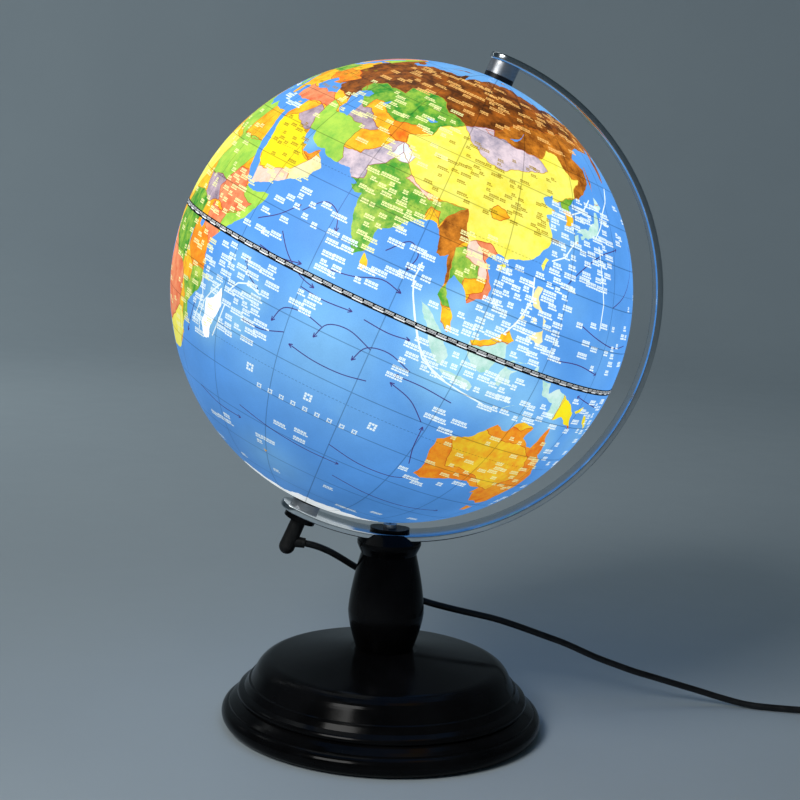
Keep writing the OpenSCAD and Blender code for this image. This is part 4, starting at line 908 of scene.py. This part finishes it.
# Ocean current arrows, tail first
CURRENTS = [
    [(52, 6), (57, 9), (61, 13)], [(60, 6), (64, 2), (69, -1), (73, -2)],
    [(74, 3), (80, 4), (86, 6), (91, 5)],
    [(56, 1), (62, 0.5), (68, 1.5)], [(70, -3), (76, -3.5), (83, -3)], [(86, -3.5), (92, -4), (97, -3.5)],
    [(60, -8), (56, -6), (54, -3)], [(78, -9), (73, -8), (68, -9), (66, -13)],
    [(90, -9), (84, -7), (79, -8), (77, -12)], [(100, -10), (94, -8), (89, -9), (87, -13)],
    [(112, -13), (104, -12), (97, -12)], [(92, -16), (86, -17), (79, -17), (72, -16)],
    [(70, -14), (64, -16), (58, -16)], [(108, -20), (103, -16), (97, -14)],
    [(112, -32), (110, -27), (109, -21)], [(60, -38), (72, -40), (84, -41), (95, -41)],
    [(90, -36), (100, -38), (110, -38), (116, -36)], [(40, -40), (50, -42), (60, -42)],
    [(95, -46), (110, -48), (125, -48), (138, -46)], [(62, 12), (66, 16), (70, 15), (72, 11)],
    [(84, 12), (88, 16), (91, 14), (90, 10)], [(128, 20), (134, 26), (142, 31), (152, 34)],
    [(165, 12), (155, 11), (145, 12), (136, 14)], [(150, 20), (158, 24), (165, 30), (168, 36)],
    [(130, 4), (140, 5), (150, 4)], [(160, -4), (152, -3), (146, -2)], [(40, -17), (38, -22), (36, -27)],
    [(-20, 15), (-32, 14), (-44, 15)], [(-70, 32), (-60, 38), (-45, 42), (-30, 46)],
    [(-15, -25), (-25, -18), (-33, -12)], [(-45, -40), (-30, -42), (-15, -41)],
    [(-120, 12), (-135, 11), (-150, 12)], [(-90, -30), (-84, -20), (-86, -10)],
    [(-150, -45), (-130, -47), (-110, -46)], [(-150, 40), (-138, 42), (-128, 38)],
]

# Widths of the drawn lines, in degrees
BORDER_W = 0.16
CURRENT_W = 0.24
CHAIN_W = 0.34
# The two barbs of an arrow's head: length in degrees, and angle from its line in radians
BARB = 1.1
BARB_ANGLE = 0.45

# ------------------------------------------------------------------ map: building

# Degrees between the grid points of the print, and of the plain lining
PRINT_STEP = 2
LINING_STEP = 8
LINING_INK = (0.8, 0.8, 0.8, 1)
# A map place that is clear of every printed line
LINING_PLACE = (5, 5, 0)
chance = random.Random(7)


def wandering(start, end, reach, roughness, draw):
    """Points from start towards end, halved again and again with a stray to one side, as a coast does."""
    (x0, y0), (x1, y1) = start, end
    if math.hypot(x1 - x0, y1 - y0) < reach:
        return [start]
    stray = draw.uniform(-1, 1) * roughness
    middle = ((x0 + x1) / 2 - stray * (y1 - y0), (y0 + y1) / 2 + stray * (x1 - x0))
    return wandering(start, middle, reach, roughness, draw) + wandering(middle, end, reach, roughness, draw)


def crinkled(outline, reach=0.9, roughness=0.1):
    """The outline with natural edges; an edge that two outlines share wanders alike in both."""
    line = []
    for start, end in zip(outline, outline[1:] + outline[:1]):
        on_edge = abs(start[0]) > 168.9 and start[0] == end[0] or abs(start[1]) == POLE_EDGE == abs(end[1])
        low, high = sorted((start, end))
        draw = random.Random(f"{low} {high}")
        points = wandering(low, high, reach, 0 if on_edge else roughness, draw) + [high]
        line += points[:-1] if start == low else points[:0:-1]
    return line


def inside(x, y, outline):
    """True if the point is in the outline."""
    found = False
    for (x0, y0), (x1, y1) in zip(outline, outline[1:] + outline[:1]):
        if (y0 > y) != (y1 > y) and x < x0 + (x1 - x0) * (y - y0) / (y1 - y0):
            found = not found
    return found


def stroke(points, width):
    """Thin four-sided shapes along a line of points."""
    shapes = []
    for (x0, y0), (x1, y1) in zip(points, points[1:]):
        squeeze = max(math.cos(math.radians(y0)), 0.2)
        dx, dy = (x1 - x0) * squeeze, y1 - y0
        length = math.hypot(dx, dy)
        if length > 1e-6:
            nx, ny = -dy / length * width / 2 / squeeze, dx / length * width / 2
            shapes.append([(x0 - nx, y0 - ny), (x1 - nx, y1 - ny), (x1 + nx, y1 + ny), (x0 + nx, y0 + ny)])
    return shapes


def place_mark(x, y, size):
    """A row of four-dot blocks over a row of short dashes: a stand-in for a name, with no letters."""
    squeeze = max(math.cos(math.radians(y)), 0.25)
    shapes = []

    def bar(left, bottom, width, height):
        left, right = x + left * size / squeeze, x + (left + width) * size / squeeze
        low, high = y + bottom * size, y + (bottom + height) * size
        shapes.append([(left, low), (right, low), (right, high), (left, high)])
    blocks = chance.randint(2, 5)
    for k in range(blocks):
        for side, rise in BLOCK_DOTS:
            bar(k * BLOCK_STEP + side, BLOCK_RISE + rise, DOT_W, DOT_H)
    end, left = blocks * BLOCK_STEP, 0.0
    while left < end:
        width = chance.uniform(0.3, 0.9)
        bar(left, 0.0, width, DASH_H)
        left += width + DASH_GAP
    return shapes


def ring_mark(x, y, size):
    """Eight dots in a square ring."""
    width = size / math.cos(math.radians(y))
    shapes = []
    for column, row in RING:
        left, right = x + column * width, x + (column + RING_DOT) * width
        low, high = y + row * size, y + (row + RING_DOT) * size
        shapes.append([(left, low), (right, low), (right, high), (left, high)])
    return shapes


def clear_of(x, y, size, taken):
    """True if a mark here keeps away from those already placed."""
    return all(abs(x - a) > 2.3 * size or abs(y - b) > 1.4 * size for a, b in taken)


def scatter(areas, size, allowed):
    """Place marks at seeded random spots in the areas, apart from each other."""
    shapes, taken = [], []
    for west, east, south, north, count in areas:
        made = 0
        for _ in range(count * 6):
            x, y = chance.uniform(west, east), chance.uniform(south, north)
            if made < count and clear_of(x, y, size, taken) and abs(y + 0.5) > 2 and allowed(x, y):
                taken.append((x, y))
                shapes += place_mark(x, y, size)
                made += 1
    return shapes


def arrow(points):
    """A current: a smooth thin line with a small open head."""
    line = [(p.x, p.y) for p in smooth_line([(*p, 0) for p in points], 5)]
    (x0, y0), (x1, y1) = line[-2], line[-1]
    heading = math.atan2(y1 - y0, x1 - x0)
    shapes = stroke(line, CURRENT_W)
    for side in (-1, 1):
        barb = heading + math.pi + side * BARB_ANGLE
        shapes += stroke([(x1, y1), (x1 + BARB * math.cos(barb), y1 + BARB * math.sin(barb))], CURRENT_W)
    return shapes


def ocean_colour(x, y):
    """Water colour: lighter over the shoals."""
    light = 0.0
    for a, b, reach, strength in SHOALS:
        away = math.hypot((x - a) * math.cos(math.radians(y)), y - b)
        light = max(light, strength * math.exp(-(away / reach) ** 2))
    return tuple(o + (s - o) * light for o, s in zip(OCEAN, SHALLOW))


def map_layers():
    """Every shape of the map in drawing order: (kind, colours, outline)."""
    coasts = [crinkled(outline) for outline in COASTS]
    layers = [("land", None, outline) for outline in coasts]
    countries = [(colours, crinkled(outline)) for colours, outline in COUNTRIES]
    layers += [("country", colours, outline) for colours, outline in countries]
    for colours, outline in countries:
        edge = tuple(0.35 * c + 0.3 * b for c, b in zip(colours[1], BORDER))
        layers += [("border", (edge, edge), quad) for quad in stroke(outline, BORDER_W)]
    layers += [("water", None, crinkled(outline)) for outline in INLAND_WATERS]
    layers += [("current", (CURRENT, CURRENT), quad) for points in CURRENTS for quad in arrow(points)]

    def on_land(x, y):
        return any(inside(x, y, outline) for outline in COASTS)

    def at_sea(x, y):
        return not on_land(x, y) and not on_land(x + 2, y)
    marks = [(SEA_MARK, scatter(SEA_MARKS, SEA_MARK_SIZE, at_sea)),
             (LAND_MARK, scatter(LAND_MARKS, LAND_MARK_SIZE, on_land)),
             (PALE_MARK, scatter(PALE_MARKS, PALE_MARK_SIZE, on_land)),
             (NORTH_MARK, scatter(NORTH_MARKS, NORTH_MARK_SIZE, on_land))]
    marks += [(SEA_MARK, stroke(points, CHAIN_W)) for points in CHAINS]
    for (x0, y0), (x1, y1), count, size in WIDE_MARKS:
        for k in range(count):
            t = k / (count - 1)
            marks.append((SEA_MARK, ring_mark(x0 + (x1 - x0) * t, y0 + (y1 - y0) * t, size)))
    layers += [("mark", (colour, colour), quad) for colour, quads in marks for quad in quads]
    return layers


def triangulate(layers):
    """The whole map as triangles that keep every outline, over a grid fine enough for the ball."""
    points, edges = [], []
    rows = [-POLE_EDGE, *range(-86, 87, PRINT_STEP), POLE_EDGE]
    columns = range(WEST_EDGE, EAST_EDGE + 1, PRINT_STEP)
    wide = len(columns)
    for y in rows:
        points += [(x, y) for x in columns]
    for r in range(len(rows) - 1):
        edges += [(r * wide, (r + 1) * wide), ((r + 1) * wide - 1, (r + 2) * wide - 1)]
    for r in (0, rows.index(0), len(rows) - 1):
        edges += [(r * wide + c, r * wide + c + 1) for c in range(wide - 1)]
    for _, _, outline in layers:
        start, count = len(points), len(outline)
        edges += [(start + k, start + (k + 1) % count) for k in range(count)]
        points += outline
    corners, _, faces, _, _, _ = delaunay_2d_cdt([Vector(p) for p in points], edges, [], 0, 1e-4, False)
    return corners, faces


def covered(xs, ys, outline):
    """Numbers of the points that are in the outline; the points come in order of y."""
    heights = [y for _, y in outline]
    first, last = numpy.searchsorted(ys, (min(heights), max(heights)))
    found = numpy.zeros(last - first, bool)
    for (x0, y0), (x1, y1) in zip(outline, outline[1:] + outline[:1]):
        if y0 != y1:
            low, high = numpy.searchsorted(ys, (min(y0, y1), max(y0, y1)))
            left = xs[low:high] < x0 + (x1 - x0) * (ys[low:high] - y0) / (y1 - y0)
            found[low - first:high - first] ^= left
    return first + numpy.flatnonzero(found)


def paint(corners, faces, layers):
    """(first colour, second colour) of each triangle, or None for open water."""
    places = numpy.array([(c.x, c.y) for c in corners])
    middles = places[numpy.array(faces)].mean(axis=1)
    order = numpy.argsort(middles[:, 1])
    xs, ys = middles[order, 0], middles[order, 1]
    land = numpy.zeros(len(faces), bool)
    top = numpy.full(len(faces), -1)
    for number, (kind, _, outline) in enumerate(layers):
        held = order[covered(xs, ys, outline)]
        if kind == "land":
            land[held] = True
        elif kind == "water":
            land[held] = False
            top[held] = -1
        elif kind == "mark":
            top[held] = number
        elif kind == "current":
            top[held[~land[held]]] = number
        else:
            top[held[land[held]]] = number
    painted = []
    for dry, number in zip(land, top):
        if number >= 0:
            painted.append(layers[number][1])
        else:
            painted.append(LAND_WITHOUT_COUNTRY if dry else None)
    return painted


def on_globe(x, y, radius=GLOBE_R):
    """A longitude and latitude as a point on the ball at rest."""
    turn, rise = math.radians(x + SPIN), math.radians(y)
    flat = math.cos(turn) * EAST + math.sin(turn) * BACK
    return CENTRE + radius * (math.sin(rise) * NORTH + math.cos(rise) * flat)


def lining(sign, rims, points, polygons):
    """The shell's plain inside and its two edges, which join onto the print's own edge points.

    rims maps the latitude of each edge to {longitude: number of the point on the print}.
    """
    flat = [(x, y) for y, rim in rims.items() for x in (*rim, EAST_EDGE)]
    columns = range(WEST_EDGE, EAST_EDGE + 1, LINING_STEP)
    flat += [(x, sign * y) for y in range(LINING_STEP, 87, LINING_STEP) for x in columns]
    corners, _, faces, _, _, _ = delaunay_2d_cdt([Vector(p) for p in flat], [], [], 0, 1e-4)
    number = {}
    inner = []
    for corner in corners:
        key = (round(WEST_EDGE if corner.x > EAST_EDGE - 1e-3 else corner.x, 4), round(corner.y, 4))
        if key not in number:
            number[key] = len(points)
            points.append(on_globe(*key, GLOBE_R - SHELL_T))
        inner.append(number[key])
    for face in faces:
        polygon = [inner[c] for c in reversed(face)]
        if len(set(polygon)) == 3:
            polygons.append(polygon)
    for y, rim in rims.items():
        around = sorted(rim)
        for x, after in zip(around, around[1:] + around[:1]):
            edge = [rim[x], rim[after], number[after, y], number[x, y]]
            polygons.append(edge if (y == 0) != (sign > 0) else edge[::-1])


def half_mesh(name, sign, corners, faces, painted):
    """One half of the ball: the print, with its colours and map places at each corner, and its lining."""
    number, points, polygons, first, second, places = {}, [], [], [], [], []
    for face, colours in zip(faces, painted):
        if sign * sum(corners[c].y for c in face) < 0:
            continue
        indices = []
        for c in face:
            x, y = corners[c]
            key = (round(WEST_EDGE if x > EAST_EDGE - 1e-3 else x, 4), round(y, 4))
            if key not in number:
                number[key] = len(points)
                points.append(on_globe(x, y))
            indices.append(number[key])
        if len(set(indices)) < 3:
            continue
        polygons.append(indices)
        for c in face:
            x, y = corners[c]
            pair = colours or (ocean_colour(x, y),) * 2
            first.append((*pair[0], 1))
            second.append((*pair[1], 1))
            places.append((x, y, 1.0 if colours else 0.0))
    printed = len(polygons)
    rims = {y: {x: n for (x, at), n in number.items() if at == y} for y in (0, sign * POLE_EDGE)}
    lining(sign, rims, points, polygons)
    mesh = bpy.data.meshes.new(name)
    mesh.from_pydata([tuple(p) for p in points], [], polygons)
    plain = len(mesh.loops) - len(places)
    first += [LINING_INK] * plain
    second += [LINING_INK] * plain
    places += [LINING_PLACE] * plain
    for label, values, kind, key in (("ink", first, "FLOAT_COLOR", "color"),
                                     ("ink_alt", second, "FLOAT_COLOR", "color"),
                                     ("place", places, "FLOAT_VECTOR", "vector")):
        layer = mesh.attributes.new(label, kind, "CORNER")
        layer.data.foreach_set(key, [v for value in values for v in value])
    mesh.polygons.foreach_set("use_smooth", [True] * len(mesh.polygons))
    mesh.polygons.foreach_set("material_index", [0] * printed + [1] * (len(polygons) - printed))
    mesh.update()
    mesh.set_sharp_from_angle(angle=math.radians(40))
    return new_object(name, mesh)


# Brightness of the lit print at the south pole, and from the equator northwards
BEAM = (0.48, 1.1)
PRINT_GLOW = 0.92
TROPIC = 23.44


def map_lines(material):
    """Brightness of the printed lines: parallels, meridians and the dotted tropics."""
    place = add_node(material, "ShaderNodeAttribute", attribute_name="place"), "Vector"
    parts = add_node(material, "ShaderNodeSeparateXYZ")
    link(material, place, parts, "Vector")
    lon, lat = (parts, "X"), (parts, "Y")
    # Degrees to the nearest parallel, one every 10, and to the nearest meridian, one every 20
    parallel = math_node(material, "PINGPONG", lat, 5)
    squeeze = math_node(material, "COSINE", math_node(material, "RADIANS", lat))
    meridian = math_node(material, "PINGPONG", math_node(material, "ADD", lon, 350), 10)
    nearest = math_node(material, "MINIMUM", parallel, product(material, meridian, squeeze))
    line = ranged(material, nearest, 0.07, 0.17, 0.5, 1)
    from_equator = math_node(material, "ABSOLUTE", lat)
    from_tropic = math_node(material, "ABSOLUTE", math_node(material, "SUBTRACT", from_equator, TROPIC))
    gap = math_node(material, "LESS_THAN", math_node(material, "PINGPONG", lon, 0.5), 0.2)
    dotted = math_node(material, "ADD", ranged(material, from_tropic, 0.07, 0.14, 0, 1), gap)
    return product(material, line, ranged(material, dotted, 0, 1, 0.6, 1))


def print_material():
    """The printed, glossy shell, lit from inside: brightest in the lamp's beam, dim round the lamp."""
    material, shader = blank_material("globe_print")
    ink = add_node(material, "ShaderNodeAttribute", attribute_name="ink"), "Color"
    alt = add_node(material, "ShaderNodeAttribute", attribute_name="ink_alt"), "Color"
    relief = ranged(material, noise(material, 130, 7, None, 0.68), 0.4, 0.68, 0, 0.85)
    colour = mix_colours(material, relief, ink, alt)
    cloud = ranged(material, noise(material, 26, 5, None, 0.6), 0.3, 0.7, 0.86, 1.1)
    grain = ranged(material, noise(material, 2200, 2), 0.25, 0.75, 0.93, 1.06)
    # The lamp stands near the south pole and shines north
    middle = NORTH.dot(CENTRE)
    beam = ranged(material, along(material, NORTH), middle - GLOBE_R, middle, *BEAM)
    shade = product(material, cloud, grain, map_lines(material), beam)
    grey = add_node(material, "ShaderNodeCombineXYZ")
    for axis in "XYZ":
        link(material, shade, grey, axis)
    lit = add_node(material, "ShaderNodeVectorMath", operation="MULTIPLY")
    link(material, colour, lit, 0)
    link(material, (grey, "Vector"), lit, 1)
    link(material, (lit, "Vector"), shader, "Emission Color")
    shader.inputs["Emission Strength"].default_value = PRINT_GLOW
    dark = mix_colours(material, 0.72, colour, (0.02, 0.02, 0.02))
    link(material, dark, shader, "Base Color")
    shader.inputs["Specular IOR Level"].default_value = 0.22
    link(material, ranged(material, noise(material, 60, 4), 0.3, 0.7, 0.4, 0.52), shader, "Roughness")
    bumped(material, shader, relief, 2e-5, 0.5)
    return material


def add_globe():
    """The two printed halves of the ball."""
    layers = map_layers()
    corners, faces = triangulate(layers)
    painted = paint(corners, faces, layers)
    material = print_material()
    for name, sign, node in (("globe_north", 1, "north_shell"), ("globe_south", -1, "south_shell")):
        half = half_mesh(name, sign, corners, faces, painted)
        half.data.materials.append(material)
        half.data.materials.append(finishes["white_plastic"])
        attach(half, "globe")
        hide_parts(node)


add_globe()


# ------------------------------------------------------------------ tape

SCALE_BOXES = 144
# Rows of the scale: height above the equator, and half the row's width
UPPER_RULE = (0.82 * MM, 0.1 * MM)
LOWER_RULE = (0.34 * MM, 0.1 * MM)
SOLID_ROW = (-0.5 * MM, 0.3 * MM)
THIN_ROW = (-0.26 * MM, 0.09 * MM)
TAPE_GLOW = 0.75


def tape_material():
    """The scale line round the equator: a row of outlined boxes over a row of white and black ones."""
    material, shader = blank_material("seam_tape")
    east, back, height = [along(material, direction, CENTRE) for direction in (EAST, BACK, NORTH)]
    turn = product(material, math_node(material, "ARCTAN2", back, east), SCALE_BOXES / 2 / math.pi)

    def near(source, middle, reach):
        away = math_node(material, "ABSOLUTE", math_node(material, "SUBTRACT", source, middle))
        return math_node(material, "LESS_THAN", away, reach)
    box = near(math_node(material, "FRACT", turn), 0.5, 0.42)
    rules = math_node(material, "MAXIMUM", near(height, *UPPER_RULE), near(height, *LOWER_RULE))
    # Every other box of the lower row is filled
    filled = math_node(material, "LESS_THAN", math_node(material, "FRACT", product(material, turn, 0.5)), 0.5)
    solid = product(material, filled, near(height, *SOLID_ROW))
    lower = math_node(material, "MAXIMUM", solid, near(height, *THIN_ROW))
    white = math_node(material, "MAXIMUM", product(material, box, rules), lower)
    wear = ranged(material, noise(material, 900, 4), 0.3, 0.7, 0.86, 1.0)
    colour = mix_colours(material, product(material, white, wear), (0.004, 0.004, 0.005), srgb(244, 248, 250))
    link(material, colour, shader, "Base Color")
    link(material, colour, shader, "Emission Color")
    shader.inputs["Emission Strength"].default_value = TAPE_GLOW
    shader.inputs["Specular IOR Level"].default_value = 0.2
    link(material, ranged(material, noise(material, 300, 4), 0.3, 0.7, 0.3, 0.45), shader, "Roughness")
    return material


def add_tape():
    """The seam tape: a thin band that follows the ball."""
    half, top, bottom = TAPE_W / 2, GLOBE_R + TAPE_T, GLOBE_R - TAPE_SINK
    profile = [(math.sqrt(bottom ** 2 - half ** 2), -half)]
    for k in range(7):
        z = -half + TAPE_W * k / 6
        profile.append((math.sqrt(top ** 2 - z ** 2), z))
    profile.append((profile[0][0], half))
    tape = lathe("equator_band", profile, 360, close=True)
    turn = Matrix((EAST, BACK, NORTH)).transposed().to_4x4()
    tape.data.transform(Matrix.Translation(CENTRE) @ turn)
    tape.data.set_sharp_from_angle(angle=math.radians(40))
    tape.data.materials.append(tape_material())
    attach(tape, "globe")
    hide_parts("equator_tape")


add_tape()


# ------------------------------------------------------------------ CAD nodes that stay

slot_of = {part["node"]: part["material_slot"] for part in frame["record"]["subparts"]}
for name, node in nodes.items():
    slot = slot_of[name]
    if slot in finishes:
        if not node.material_slots:
            node.data.materials.append(finishes[slot])
        for material_slot in node.material_slots:
            material_slot.material = finishes[slot]
